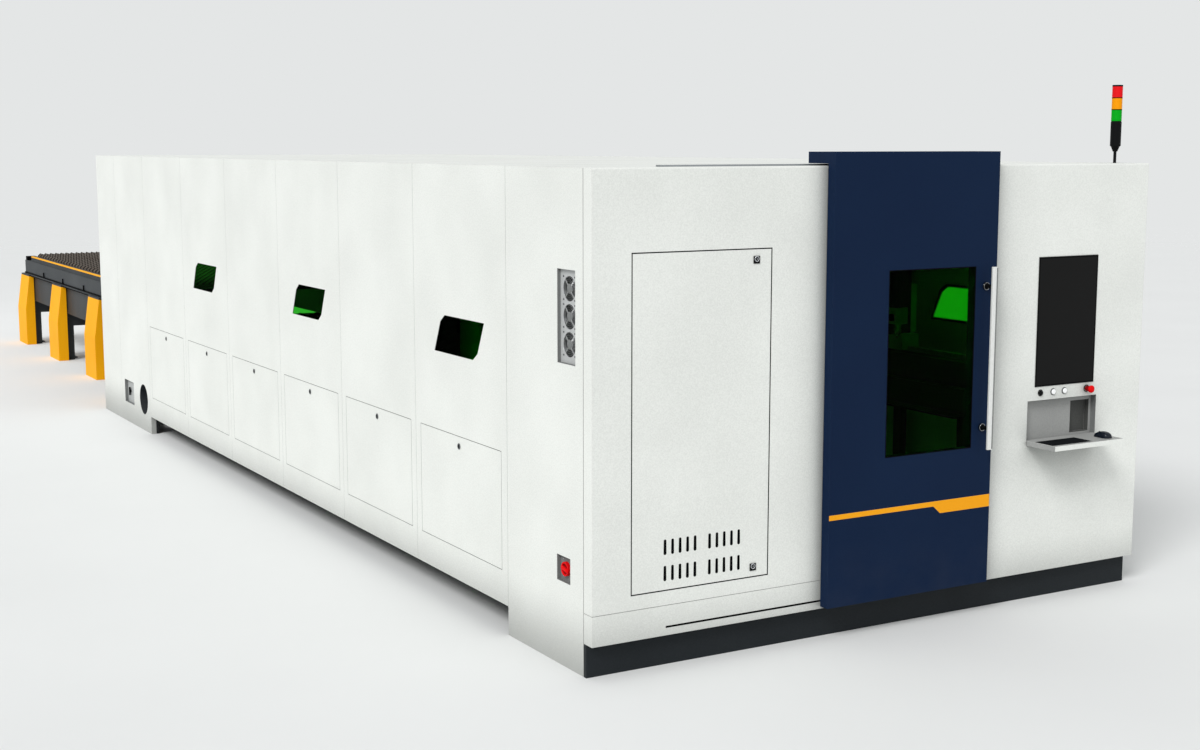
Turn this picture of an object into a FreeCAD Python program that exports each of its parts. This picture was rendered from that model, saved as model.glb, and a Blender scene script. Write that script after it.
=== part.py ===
import FreeCAD, Part
import os
import re
from math import cos, pi, sin

import Sketcher
from FreeCAD import Placement, Rotation, Vector

# A fiber laser cutting machine: a sheet-metal enclosure with a sliding front door, a
# control console and an electrical cabinet, a machine bed with a travelling gantry, and
# an exchange table behind it on which one of two slatted pallets lies.
#
# Frame: +Z up, the operator's side faces -Y, the exchange table is at +Y. X = 0 is the
# middle of the enclosure, Y = 0 the front plane of its side panels, Z = 0 the floor.
# All sizes are millimetres.

os.makedirs("parts", exist_ok=True)
doc = FreeCAD.newDocument("LaserCuttingMachine")
sheet = doc.addObject("Spreadsheet::Sheet", "Sizes")
nodes = []


# ---------------------------------------------------------------------------
# Driving dimensions
# ---------------------------------------------------------------------------

SIZES = {
    # Enclosure
    "width": 3426,  # enclosure, left face to right face
    "side_length": 8915,  # enclosure, front of the side panels to the rear wall
    "height": 2300,  # floor to the roof
    "skin": 3,  # sheet metal of panels and doors
    "seam": 2,  # gap between neighbouring panels
    "corner_seam": 4,  # gap between the front shell and the side panels
    "shell_depth": 74.5,  # front shell, proud of the side panels
    "bend": 10,  # bend radius at the top of the front shell
    "tube": 60,  # square tube of the side frames
    "front_section": 757,  # length of the front corner section
    "rear_section": 1570,  # length of the rear section, up to the rear wall
    "rear_split": 938,  # seam within the rear section, from its front edge
    "sill": 145,  # lower edge of the side panels above the floor
    "rear_return": 40,  # return of the rear panel at its front edge
    "past": 1,  # cutting shapes run past a face by this

    # Plinth
    "plinth_height": 156.5,  # plinth below the front shell
    "plinth_proud": 22,  # plinth front, proud of the side panels
    "plinth_inset": 7,  # plinth end, in from the right face

    # Doorway and front panels
    "lower_seam": 299,  # seam between the lower and the upper front panel
    "doorway_left": 1345,  # left jamb from the left face
    "doorway_width": 900,  # clear width of the doorway
    "doorway_head": 150,  # head of the doorway below the roof
    "slot_left": 391,  # left end of the door's guide slot, from the left face
    "slot_z": 196,  # middle of the guide slot above the floor
    "slot_height": 10,  # height of the guide slot

    # Electrical cabinet
    "cabinet_left": 205,  # cabinet door opening from the left face
    "cabinet_opening": 757,  # width of the cabinet door opening
    "cabinet_bottom": 370,  # lower edge of the cabinet door opening
    "cabinet_rise": 1553,  # height of the cabinet door opening
    "cabinet_depth": 700,  # back wall of the cabinet behind Y = 0
    "door_gap": 3,  # gap round hinged doors and flaps
    "door_fold": 20,  # depth of the folded edge of doors and openings
    "hinge_in": 8,  # hinge line behind the outer face
    "hinge_up": 16,  # hinge line from the edge of the opening
    "pin_radius": 4,  # hinge pins of the doors and flaps
    "pin_length": 14,  # length of a hinge pin
    "running": 0.05,  # radial clearance of pins and stems
    "louver_width": 8,  # one ventilation slot
    "louver_height": 65,  # one ventilation slot
    "louver_pitch": 41,  # from slot to slot
    "louver_first": 381,  # first ventilation slot from the left face
    "louver_group": 244.5,  # from one group of slots to the next
    "louver_low": 417.5,  # lower row of slots above the floor
    "louver_row": 123.5,  # from the lower row to the upper row
    "lock_x": 876,  # cabinet locks from the left face
    "lock_low": 418,  # lower cabinet lock above the floor
    "lock_high": 1872,  # upper cabinet lock above the floor
    "lock_side": 34,  # square plate of a cabinet lock
    "lock_stem": 10,  # radius of a lock's turning cylinder
    "lock_proud": 3,  # plate of a cabinet lock above the door
    "cam_thick": 4,  # cam behind the door
    "cam_reach": 25,  # cam above the middle of its lock

    # Inside the electrical cabinet; heights count from the cabinet door opening
    "panel_width": 1000,  # mounting plate
    "panel_low": 420,  # lower edge of the mounting plate
    "panel_high": 1600,  # upper edge of the mounting plate
    "drive_first": 60,  # first drive from the plate's left edge
    "drive_pitch": 220,  # from drive to drive
    "drive_width": 150,  # one drive
    "drive_depth": 200,  # one drive
    "drive_low": 1160,  # lower edge of the drives
    "drive_height": 340,  # one drive
    "wireway_in": 30,  # wiring duct from the plate's edges
    "wireway_depth": 60,  # wiring duct
    "wireway_low": 500,  # lowest wiring duct
    "wireway_pitch": 270,  # from wiring duct to wiring duct
    "wireway_height": 50,  # wiring duct
    "gear_in": 80,  # contactors and terminals from the plate's left edge
    "contactor_width": 680,  # row of contactors
    "contactor_depth": 80,  # row of contactors
    "contactor_low": 590,  # lower edge of the contactors
    "contactor_height": 110,  # row of contactors
    "terminal_width": 780,  # row of terminals
    "terminal_depth": 50,  # row of terminals
    "terminal_low": 870,  # lower edge of the terminals
    "terminal_height": 60,  # row of terminals
    "source_width": 700,  # laser source
    "source_front": 120,  # front of the laser source behind Y = 0
    "source_back": 20,  # laser source before the cabinet's back wall
    "source_top": 330,  # top of the laser source

    # Sliding door
    "door_left": 1275,  # sliding door from the left face, when shut
    "door_width": 1028,  # sliding door
    "door_bottom": 170,  # lower edge of the sliding door above the floor
    "door_over": 65,  # top of the sliding door above the roof
    "door_proud": 62.5,  # front of the sliding door from the front shell
    "door_thick": 55,  # thickness of the sliding door
    "hood_back": 72,  # rear of the door's hood above the roof, behind Y = 0
    "hood_gap": 10,  # lower edge of the hood above the roof
    "window_left": 337,  # door window from the door's left edge
    "window_width": 554,  # door window
    "window_bottom": 881,  # door window above the floor
    "window_height": 917,  # door window
    "glass": 6,  # thickness of window panes
    "glass_inset": 3,  # window pane behind the face
    "glass_lap": 15,  # side window pane beyond its opening
    "bar_width": 30,  # handle bar
    "bar_thick": 14,  # handle bar
    "bar_low": 876,  # lower end of the handle bar above the floor
    "bar_length": 921,  # handle bar
    "bar_right": 56,  # outer edge of the bar from the door's right edge
    "bar_reach": 54,  # clear space between the door and the handle bar
    "standoff_low": 982,  # lower handle foot above the floor
    "standoff_high": 1697,  # upper handle foot above the floor
    "standoff_radius": 9,  # handle foot
    "standoff_flange": 19,  # radius of the flange of a handle foot
    "flange_thick": 8,  # flange of a handle foot
    "track_width": 40,  # door track on the roof
    "track_height": 8,  # door track on the roof
    "track_y": 10,  # middle of the door track behind Y = 0
    "hanger_length": 120,  # hanger shoe inside the hood
    "hanger_inset": 150,  # hanger shoe from the door's edges
    "hanger_wall": 12,  # hanger shoe beyond the track's sides
    "hanger_up": 2,  # lower edge of the hanger shoe above the roof
    "slide_gap": 0.3,  # clearance between sliding faces
    "tongue_length": 60,  # guide tongue at the foot of the door
    "tongue_inset": 5,  # guide tongue from the door's edge
    "slot_gap": 1,  # guide tongue from the edges of the slot

    # Console
    "screen_shift": 0.5,  # monitor, left of the middle of the console
    "screen_width": 422,  # monitor
    "screen_bottom": 1147,  # monitor above the floor
    "screen_height": 676,  # monitor
    "screen_proud": 3,  # monitor frame from the front shell
    "screen_lap": 10,  # monitor frame beyond its opening
    "screen_depth": 45,  # monitor housing behind the frame
    "button_z": 1114,  # buttons above the floor
    "button_radius": 11,  # push button cap
    "button_proud": 8,  # push button cap from the front shell
    "button_collar": 3,  # collar of a button beyond its cap
    "button_seat": 6,  # rear of a button's collar behind the panel
    "button_root": 10,  # inner end of a button behind the panel
    "button_ease": 2,  # eased rim of a push button
    "black_button_shift": -169.5,  # black button, right of the middle of the console
    "left_white_shift": -79.5,  # first white button, right of the middle of the console
    "right_white_shift": 1.5,  # second white button, right of the middle of the console
    "stop_shift": 162.5,  # emergency stop, right of the middle of the console
    "stop_radius": 20,  # mushroom head of the emergency stop
    "stop_head": 13,  # thickness of the mushroom head
    "stop_proud": 46,  # front of the mushroom head from the front shell
    "stop_neck": 8,  # start of the wide neck from the front shell
    "stop_neck_radius": 14.5,  # wide neck under the mushroom head
    "niche_shift": 9.5,  # keyboard niche, left of the middle of the console
    "niche_width": 496,  # keyboard niche
    "niche_bottom": 841,  # keyboard niche above the floor
    "niche_height": 234,  # keyboard niche
    "niche_depth": 38,  # keyboard niche behind the front shell
    "pocket_left": 346,  # mouse pocket from the niche's left side
    "pocket_width": 136,  # mouse pocket in the niche's back
    "pocket_bottom": 876,  # mouse pocket above the floor
    "pocket_height": 172,  # mouse pocket
    "pocket_depth": 30,  # mouse pocket behind the niche's back
    "tray_gap": 2,  # keyboard tray from the niche's sides
    "tray_up": 1,  # keyboard tray above the niche's floor
    "tray_thick": 26,  # keyboard tray
    "tray_reach": 217,  # front of the tray from its hinge line
    "tray_pin": 5,  # hinge pins of the tray
    "board_left": 6,  # keyboard from the tray's left edge
    "board_width": 278,  # keyboard
    "board_depth": 123,  # keyboard
    "board_front": 24,  # keyboard from the tray's front edge
    "board_thick": 16,  # keyboard
    "board_proud": 4,  # keyboard above the tray
    "key_edge": 8,  # rows of keys from the keyboard's front and rear edges
    "key_side": 6,  # rows of keys from the keyboard's sides
    "key_gap": 2,  # half the gap between two rows of keys
    "key_height": 2,  # keys above the keyboard's base
    "mouse_width": 58,  # mouse
    "mouse_length": 98,  # mouse
    "mouse_height": 33,  # mouse
    "mouse_left": 394,  # mouse from the tray's left edge
    "mouse_front": 30,  # mouse from the tray's front edge

    # Left side: flaps, windows, fans, switches
    "flap_inset": 64,  # scrap flap opening from the seams beside it
    "flap_bottom": 314,  # scrap flap opening above the floor
    "flap_height": 597,  # scrap flap opening
    "flap_lock_z": 858,  # lock of a scrap flap above the floor
    "flap_lock_radius": 15,  # lock of a scrap flap
    "flap_lock_proud": 2,  # lock of a scrap flap above its face
    "pane_start": 243,  # upper front corner of a side window from its panel's edge
    "pane_length": 502,  # side window, along the machine
    "pane_shift": 95,  # lower edge of a side window, moved back
    "pane_bottom": 1326,  # side window above the floor
    "pane_height": 197,  # side window
    "pane_corner": 36,  # cut of the two eased corners of a side window
    "fan_front": 74,  # fan recess behind Y = 0
    "fan_length": 167,  # fan recess, along the machine
    "fan_bottom": 1417,  # fan recess above the floor
    "fan_height": 428,  # fan recess
    "recess_depth": 20,  # fan and switch recesses behind the panel's face
    "fan_pitch": 126.5,  # from fan to fan
    "fan_opening": 57,  # radius of a fan opening
    "fan_plate_gap": 1,  # gap round the fan plate
    "vent_side": 15,  # opening behind the fans from the recess's sides
    "vent_end": 20,  # opening behind the fans from the recess's ends
    "spoke_root": 2,  # spokes of a fan guard into the plate
    "fan_hub": 22,  # radius of a fan's hub cover
    "hub_step": 2,  # rotor hub within the hub cover
    "fan_shaft": 4,  # radius of a fan's shaft
    "fan_thick": 24,  # depth of a fan rotor
    "fan_tip": 53,  # radius over the fan blades
    "switch_front": 125,  # main switch recess behind Y = 0
    "switch_length": 127,  # main switch recess, along the machine
    "switch_bottom": 400,  # main switch recess above the floor
    "switch_height": 122,  # main switch recess
    "knob_radius": 34,  # main switch
    "knob_proud": 26,  # main switch above the recess floor
    "dial_thick": 8,  # round dial of the main switch
    "switch_tail": 15,  # switch stems behind the recess wall
    "isolator_along": 535,  # rear switch recess from the front edge of the rear section
    "isolator_length": 305,  # rear switch recess, along the machine
    "isolator_bottom": 170,  # rear switch recess above the floor
    "isolator_height": 197,  # rear switch recess
    "isolator_depth": 28,  # rear switch recess behind the panel's face
    "lever_along": 200,  # rear switch from the front end of its recess
    "lever_proud": 20,  # lever of the rear switch above the recess floor
    "lever_width": 16,  # lever of the rear switch
    "lever_length": 70,  # lever of the rear switch
    "lever_hub": 14,  # radius of the rear switch's hub
    "lever_hub_thick": 6,  # hub of the rear switch
    "duct_along": 215,  # extraction duct hole from the front edge of the rear section
    "duct_z": 266,  # extraction duct hole above the floor
    "duct_radius": 127.5,  # extraction duct hole

    # Tower light
    "beacon_in": 136,  # tower light from the right face
    "beacon_y": 40,  # tower light behind Y = 0
    "pole_radius": 8,  # pole of the tower light
    "pole_height": 61,  # pole of the tower light above the roof
    "foot_plate": 5,  # foot plate of the tower light
    "neck_height": 30,  # tapered neck of the tower light
    "base_height": 131,  # black base of the tower light
    "lens_radius": 28,  # lens of the tower light
    "lens_height": 58,  # one lens of the tower light
    "ring_height": 4,  # dark ring between two lenses

    # Bed, gantry and head
    "gate_side": 400,  # pallet gate in the rear wall, from the side faces
    "gate_bottom": 780,  # pallet gate above the floor
    "gate_height": 560,  # pallet gate
    "beam_in": 225,  # bed beam from the side faces
    "beam_width": 220,  # bed beam
    "beam_bottom": 930,  # bed beam above the floor
    "beam_height": 220,  # bed beam
    "beam_start": 760,  # front end of the bed beams
    "beam_back": 315,  # rear end of the bed beams before the rear wall
    "leg_width": 150,  # bed leg
    "leg_out": 30,  # bed leg from the outer face of its beam
    "leg_in": 40,  # bed leg from the inner face of its beam
    "cross_low": 420,  # cross member of the bed above the floor
    "cross_height": 140,  # cross member of the bed
    "cross_in": 15,  # cross member from the edges of the legs
    "rail_width": 30,  # linear rail
    "rail_height": 28,  # linear rail
    "rail_end": 20,  # linear rail from the ends of the beam
    "gantry_start": 1500,  # front face of the gantry beam at rest
    "gantry_depth": 260,  # gantry beam, along the machine
    "truck_plate": 72,  # end truck between the linear rail and the gantry beam
    "gantry_height": 300,  # gantry beam
    "truck_length": 420,  # gantry end truck, along the machine
    "truck_width": 130,  # gantry end truck
    "truck_gap": 8,  # gantry end truck above the bed beam
    "carriage_in": 491,  # middle of the cutting carriage from the right face, at rest
    "carriage_width": 300,  # cutting carriage
    "carriage_depth": 60,  # cutting carriage
    "carriage_foot": 12,  # lower edge of the carriage above the underside of the beam
    "carriage_over": 120,  # cutting carriage above the top of the gantry beam
    "guide_size": 24,  # guides on the gantry beam
    "guide_inset": 30,  # guides from the upper and lower edges of the beam
    "guide_end": 100,  # guides from the ends of the beam
    "head_width": 130,  # slide of the cutting head
    "head_depth": 110,  # slide of the cutting head
    "head_up": 80,  # lower end of the head's housing above the underside of the beam
    "head_height": 480,  # housing of the cutting head
    "nozzle_down": 10,  # tip of the nozzle below the underside of the beam
    "nozzle_radius": 24,  # collimator tube of the head
    "nozzle_length": 12,  # tapered tip of the nozzle
    "nozzle_neck": 20,  # foot of the focusing cone above the tip
    "cone_top": 45,  # top of the focusing cone above the tip

    # Exchange table and pallets
    "table_in": 445,  # table rails and pallets from the side faces
    "table_length": 5725,  # table rails behind the rear wall
    "track_bottom": 840,  # table rails above the floor
    "channel_height": 165,  # table rails
    "channel_width": 115,  # lower flange of the rails
    "top_flange": 60,  # upper flange of the rails
    "channel_plate": 10,  # plate of the rails
    "channel_lip": 9,  # lower lip of the table rails beyond their outer face
    "foot_count": 4,  # legs on each side of the table
    "foot_start": 162,  # first table leg behind the rear wall
    "foot_pitch": 1745,  # from leg to leg
    "foot_length": 470,  # table leg, along the table
    "foot_width": 106,  # table leg at the floor
    "foot_in": 363,  # table leg from the side faces, at the floor
    "foot_bend": 430,  # bend of the table leg above the floor
    "foot_top_in": 419,  # table leg from the side faces, at its top
    "cap_height": 18,  # cap between a table leg and the rail
    "inner_post": 80,  # inner post behind a table leg
    "post_along": 60,  # inner post from the front edge of its leg
    "cap_end": 15,  # cap from the front and rear edges of its leg
    "crossbeam_low": 382,  # cross beam of the table above the floor
    "crossbeam": 150,  # height of a cross beam of the table
    "side_plate_low": 526,  # lower edge of the table's side plates
    "side_plate": 6,  # table side plates
    "side_plate_in": 10,  # table side plates from the inner faces of the legs
    "pallet_start": 75,  # front end of the upper pallet behind the rear wall, at rest
    "pallet_length": 5300,  # pallet
    "pallet_travel": 6800,  # from the table into the machine
    "pallet_height": 47,  # frame of a pallet
    "pallet_member": 60,  # frame member of a pallet
    "pallet_in": 5,  # upper pallet from the outer faces of the rails
    "lower_pallet_gap": 8,  # lower pallet from the webs of the rails
    "lower_slat_up": 6,  # foot of the lower slats above their frame's underside
    "edge_height": 13,  # orange edge bar of the upper pallet
    "slat_count": 27,  # slats on a pallet
    "slat_thick": 6,  # slat
    "slat_over": 40,  # slat tips above the edge bar
    "slat_rise": 90,  # slat, from its foot to its tips
    "slat_end": 25,  # first and last slat, from the end members
    "tooth_count": 16,  # teeth of a slat
    "tooth_depth": 30,  # depth of a slat's teeth
    "notch_gap": 2,  # slat notch from the middle member
}

for row, (word, value) in enumerate(SIZES.items(), start=1):
    sheet.set("A" + str(row), word)
    sheet.set("B" + str(row), str(value))
    sheet.setAlias("B" + str(row), word)
doc.recompute()

WORD = re.compile(r"[a-z_]{3,}")


def tie(feature, path, formula):
    """Binds one property of a feature to a formula written in the sheet's words."""
    text = WORD.sub(lambda hit: "Sizes." + hit.group(0) if hit.group(0) in SIZES else hit.group(0), formula)
    feature.setExpression(path, text)


def number(word):
    """Reads one driving dimension from the sheet."""
    return float(sheet.get(word))


def left(distance):
    """Formula for an X measured from the enclosure's left face."""
    return "(-width / 2 + " + distance + ")"


def right(distance):
    """Formula for an X measured in from the enclosure's right face."""
    return "(width / 2 - (" + distance + "))"


# ---------------------------------------------------------------------------
# Building blocks
# ---------------------------------------------------------------------------

def block(name, x, y, z):
    """A box between two formulas on each axis."""
    box = doc.addObject("Part::Box", name)
    for path, prop, ends in (("x", "Length", x), ("y", "Width", y), ("z", "Height", z)):
        tie(box, "Placement.Base." + path, ends[0])
        tie(box, prop, "(" + ends[1] + ") - (" + ends[0] + ")")
    return box


TURNS = {"x": Rotation(Vector(0, 1, 0), 90), "y": Rotation(Vector(1, 0, 0), -90), "z": Rotation()}


def rod(name, axis, at, radius, length):
    """A cylinder that starts at a point and runs along +X, +Y or +Z."""
    cylinder = doc.addObject("Part::Cylinder", name)
    cylinder.Placement = Placement(Vector(), TURNS[axis])
    for path, formula in zip("xyz", at):
        tie(cylinder, "Placement.Base." + path, formula)
    tie(cylinder, "Radius", radius)
    tie(cylinder, "Height", length)
    return cylinder


def cone(name, at, low_radius, high_radius, height):
    """An upright truncated cone."""
    tapered = doc.addObject("Part::Cone", name)
    for path, formula in zip("xyz", at):
        tie(tapered, "Placement.Base." + path, formula)
    tie(tapered, "Radius1", low_radius)
    tie(tapered, "Radius2", high_radius)
    tie(tapered, "Height", height)
    return tapered


def fuse(name, *pieces):
    """One solid out of several that touch or overlap."""
    joined = doc.addObject("Part::MultiFuse", name)
    joined.Shapes = list(pieces)
    return joined


def cut(name, base, *tools):
    """The base without its tools."""
    tool = tools[0] if len(tools) == 1 else fuse(name + "_tools", *tools)
    result = doc.addObject("Part::Cut", name)
    result.Base = base
    result.Tool = tool
    return result


def group(name, *pieces):
    """Several separate solids that share one node."""
    bundle = doc.addObject("Part::Compound", name)
    bundle.Links = list(pieces)
    return bundle


def hollow(name, x, y, z, opened, wall="skin"):
    """A sheet-metal box with the named sides left open, such as "+y"."""
    inner = []
    for axis, ends in (("x", x), ("y", y), ("z", z)):
        low = ends[0] + (" - past" if "-" + axis in opened else " + " + wall)
        high = ends[1] + (" + past" if "+" + axis in opened else " - " + wall)
        inner.append((low, high))
    return cut(name, block(name + "_outside", x, y, z), block(name + "_inside", *inner))


def node(name, feature):
    """Registers a finished sub-part under its node name."""
    feature.Label = name
    nodes.append(feature)
    return feature


# Sketched bodies

def new_body(name):
    """An empty body for sketched features."""
    return doc.addObject("PartDesign::Body", name)


def new_sketch(body, plane, offset):
    """A sketch on one of the body's own planes, moved along the plane's normal."""
    base = [item for item in body.Origin.OriginFeatures if item.Role == plane][0]
    sketch = body.newObject("Sketcher::SketchObject", body.Name + "_sketch")
    sketch.AttachmentSupport = (base, [""])
    sketch.MapMode = "FlatFace"
    tie(sketch, "AttachmentOffset.Base.z", offset)
    return sketch


def outline(sketch, corners):
    """A closed loop of lines whose corners are bound to pairs of formulas."""
    first = sketch.GeometryCount
    count = len(corners)
    loose = [Vector(100 * cos(2 * pi * i / count), 100 * sin(2 * pi * i / count), 0) for i in range(count)]
    for i in range(count):
        sketch.addGeometry(Part.LineSegment(loose[i], loose[(i + 1) % count]), False)
    for i in range(count):
        sketch.addConstraint(Sketcher.Constraint("Coincident", first + i, 2, first + (i + 1) % count, 1))
    for i, corner in enumerate(corners):
        for kind, formula in zip(("DistanceX", "DistanceY"), corner):
            index = sketch.addConstraint(Sketcher.Constraint(kind, first + i, 1, 10.0))
            tie(sketch, "Constraints[" + str(index) + "]", formula)


def rectangle(sketch, u, v):
    """A rectangle between two formulas on each sketch axis."""
    outline(sketch, [(u[0], v[0]), (u[1], v[0]), (u[1], v[1]), (u[0], v[1])])


def circle(sketch, u, v, radius):
    """A circle whose centre and radius are bound to formulas."""
    index = sketch.addGeometry(Part.Circle(Vector(), Vector(0, 0, 1), 10), False)
    for kind, position, formula in (("DistanceX", 3, u), ("DistanceY", 3, v)):
        item = sketch.addConstraint(Sketcher.Constraint(kind, index, position, 10.0))
        tie(sketch, "Constraints[" + str(item) + "]", formula)
    item = sketch.addConstraint(Sketcher.Constraint("Radius", index, 10.0))
    tie(sketch, "Constraints[" + str(item) + "]", radius)


def pad(body, sketch, length, backwards=False):
    """Raises a sketch into a solid."""
    feature = body.newObject("PartDesign::Pad", body.Name + "_pad")
    feature.Profile = sketch
    feature.Reversed = backwards
    tie(feature, "Length", length)
    return feature


def pocket(body, sketch, length, backwards=False):
    """Sinks a sketch into the body; the volume shows that it has cut."""
    doc.recompute()
    before = body.Tip.Shape.Volume
    feature = body.newObject("PartDesign::Pocket", body.Name + "_pocket")
    feature.Profile = sketch
    feature.Reversed = backwards
    tie(feature, "Length", length)
    doc.recompute()
    if feature.Shape.Volume >= before - 1:
        raise RuntimeError(body.Name + ": a pocket cuts nothing")
    return feature


def shell(body, feature, test, thickness):
    """Hollows a body to sheet metal, open at the faces that pass the test."""
    doc.recompute()
    thin = body.newObject("PartDesign::Thickness", body.Name + "_thin")
    box = feature.Shape.BoundBox
    faces = ["Face" + str(i + 1) for i, face in enumerate(feature.Shape.Faces) if test(face.BoundBox, box)]
    thin.Base = (feature, faces)
    thin.Reversed = True
    tie(thin, "Value", thickness)
    return thin


def ease(body, feature, test, radius):
    """Rounds the edges of a feature that pass the test."""
    doc.recompute()
    rounded = body.newObject("PartDesign::Fillet", body.Name + "_round")
    box = feature.Shape.BoundBox
    edges = ["Edge" + str(i + 1) for i, edge in enumerate(feature.Shape.Edges) if test(edge.BoundBox, box)]
    rounded.Base = (feature, edges)
    tie(rounded, "Radius", radius)
    return rounded


def repeat(body, feature, sketch, axis, length, count):
    """Repeats a feature at even steps along a sketch axis."""
    pattern = body.newObject("PartDesign::LinearPattern", body.Name + "_pattern")
    pattern.Originals = [feature]
    pattern.Direction = (sketch, [axis])
    tie(pattern, "Length", length)
    tie(pattern, "Occurrences", count)
    body.Tip = pattern
    return pattern


def revolve(body, corners):
    """Turns a half profile (radius, height) about the Z axis."""
    sketch = new_sketch(body, "XZ_Plane", "0")
    outline(sketch, corners)
    feature = body.newObject("PartDesign::Revolution", body.Name + "_turned")
    feature.Profile = sketch
    feature.ReferenceAxis = (sketch, ["V_Axis"])
    feature.Angle = 360
    return feature


def place(body, at):
    """Ties a body's position to three formulas."""
    for path, formula in zip("xyz", at):
        tie(body, "Placement.Base." + path, formula)


def is_back(face, box):
    """True for the flat face at the body's +Y end."""
    return abs(face.YMin - box.YMax) < 1e-4


def is_top_front(edge, box):
    """True for the long edge at the top of the front face."""
    return abs(edge.ZMin - box.ZMax) < 1e-4 and abs(edge.YMax - box.YMin) < 1e-4


# ---------------------------------------------------------------------------
# Places that several pieces share
# ---------------------------------------------------------------------------

FRONT = "-shell_depth"
DOOR_FACE = "(-shell_depth - door_proud)"
DOORWAY_TOP = "(height - doorway_head)"
DOOR_TOP = "(height + door_over)"
PANEL_COUNT = 6
PANEL_PITCH = "((side_length - front_section - rear_section) / " + str(PANEL_COUNT) + ")"
REAR_SECTION = "(side_length - rear_section)"
WINDOW_PANELS = (0, 2, 4)
CORNER_Y = ("corner_seam", "front_section - seam / 2")
SIDES = (("left", left), ("right", right))


def panel_edge(index):
    """Formula for the front edge of a side panel, counted from the front."""
    return "(front_section + " + str(index) + " * " + PANEL_PITCH + ")"


def seam_ends(start, end):
    """Both ends of a panel, each drawn back by half a seam."""
    return (start + " + seam / 2", end + " - seam / 2")


def both_ends(side_formula, near, far):
    """X range between two distances from a side face, in rising order on either side."""
    if side_formula is left:
        return (left(near), left(far))
    return (right(far), right(near))


# ---------------------------------------------------------------------------
# Plinth and front panels
# ---------------------------------------------------------------------------

def make_plinth():
    """Dark folded kick plate along the floor below the front shell, against the side frames."""
    body = new_body("plinth_body")
    sketch = new_sketch(body, "XZ_Plane", "plinth_proud")
    rectangle(sketch, (left("0"), right("plinth_inset")), ("0", "plinth_height"))
    channel = shell(body, pad(body, sketch, "plinth_proud", True), is_back, "2 * skin")
    body.Tip = channel
    node("plinth", body)


def front_shell(name, ends, heights, rounded=True):
    """A front panel: a sheet folded back on all sides, with a round bend at its top."""
    body = new_body(name + "_body")
    sketch = new_sketch(body, "XZ_Plane", "shell_depth")
    rectangle(sketch, ends, heights)
    feature = pad(body, sketch, "shell_depth", True)
    if rounded:
        feature = ease(body, feature, is_top_front, "bend")
    body.Tip = shell(body, feature, is_back, "skin")
    return body


def opening_in_front(body, u, v):
    """Cuts a rectangular opening through the skin of a front panel."""
    sketch = new_sketch(body, "XZ_Plane", "shell_depth")
    rectangle(sketch, u, v)
    body.Tip = pocket(body, sketch, "2 * skin")


CABINET_X = (left("cabinet_left"), left("cabinet_left + cabinet_opening"))
CABINET_Z = ("cabinet_bottom", "cabinet_bottom + cabinet_rise")
CABINET_HINGE = (left("cabinet_left + hinge_up"), FRONT + " + hinge_in")


def make_front_left_panel():
    """Front of the electrical cabinet: opening with a folded edge and two hinge pins."""
    body = front_shell("front_left", (left("0"), left("doorway_left")), ("lower_seam + seam / 2", "height"))
    opening_in_front(body, CABINET_X, CABINET_Z)
    fold_y = (FRONT, FRONT + " + door_fold")
    ring = cut(
        "cabinet_edge",
        block(
            "cabinet_edge_outside",
            (CABINET_X[0] + " - skin", CABINET_X[1] + " + skin"),
            fold_y,
            (CABINET_Z[0] + " - skin", CABINET_Z[1] + " + skin"),
        ),
        block("cabinet_edge_inside", CABINET_X, (fold_y[0] + " - past", fold_y[1] + " + past"), CABINET_Z),
    )
    low_pin = rod("cabinet_low_pin", "z", CABINET_HINGE + ("cabinet_bottom",), "pin_radius", "pin_length")
    high_at = CABINET_HINGE + ("cabinet_bottom + cabinet_rise - pin_length",)
    high_pin = rod("cabinet_high_pin", "z", high_at, "pin_radius", "pin_length")
    node("front_left_panel", fuse("front_left_joined", body, ring, low_pin, high_pin))


SLOT_Z = ("slot_z - slot_height / 2", "slot_z + slot_height / 2")


def make_front_lower_panel():
    """Low front panel that also makes the threshold, with the door's guide slot."""
    ends = (left("0"), left("door_left + door_width - seam"))
    body = front_shell("front_lower", ends, ("plinth_height", "lower_seam - seam / 2"), False)
    opening_in_front(body, (left("slot_left"), left("door_left + door_width - 2 * seam")), SLOT_Z)
    node("front_lower_panel", body)


def make_doorway_frame():
    """Head of the doorway and its two jambs, folded channels behind the sliding door."""
    jamb_right = left("doorway_left + doorway_width")
    head = hollow(
        "doorway_head",
        (left("doorway_left"), left("door_left + door_width - seam")),
        (FRONT, "0"),
        (DOORWAY_TOP, "height - bend"),
        ("+y",),
    )
    jamb = hollow(
        "doorway_jamb",
        (jamb_right, left("door_left + door_width - seam")),
        (FRONT, "0"),
        ("lower_seam + seam / 2", DOORWAY_TOP),
        ("+y",),
    )
    node("doorway_frame", fuse("doorway_joined", head, jamb))


CONSOLE_MIDDLE = "(door_left + door_width + width) / 2"
NICHE_LEFT = CONSOLE_MIDDLE + " - niche_shift - niche_width / 2"
NICHE_X = (left(NICHE_LEFT), left(NICHE_LEFT + " + niche_width"))
NICHE_Z = ("niche_bottom", "niche_bottom + niche_height")
NICHE_BACK = FRONT + " + niche_depth"
POCKET_X = (left(NICHE_LEFT + " + pocket_left"), left(NICHE_LEFT + " + pocket_left + pocket_width"))
POCKET_Z = ("pocket_bottom", "pocket_bottom + pocket_height")
TRAY_HINGE_Y = FRONT + " + tray_thick / 2"
TRAY_HINGE_Z = "niche_bottom + tray_up + tray_thick / 2"
SCREEN_LEFT = CONSOLE_MIDDLE + " - screen_shift - screen_width / 2"
SCREEN_X = (left(SCREEN_LEFT), left(SCREEN_LEFT + " + screen_width"))
SCREEN_Z = ("screen_bottom", "screen_bottom + screen_height")
BUTTON_WORDS = ("black_button_shift", "left_white_shift", "right_white_shift", "stop_shift")


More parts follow.
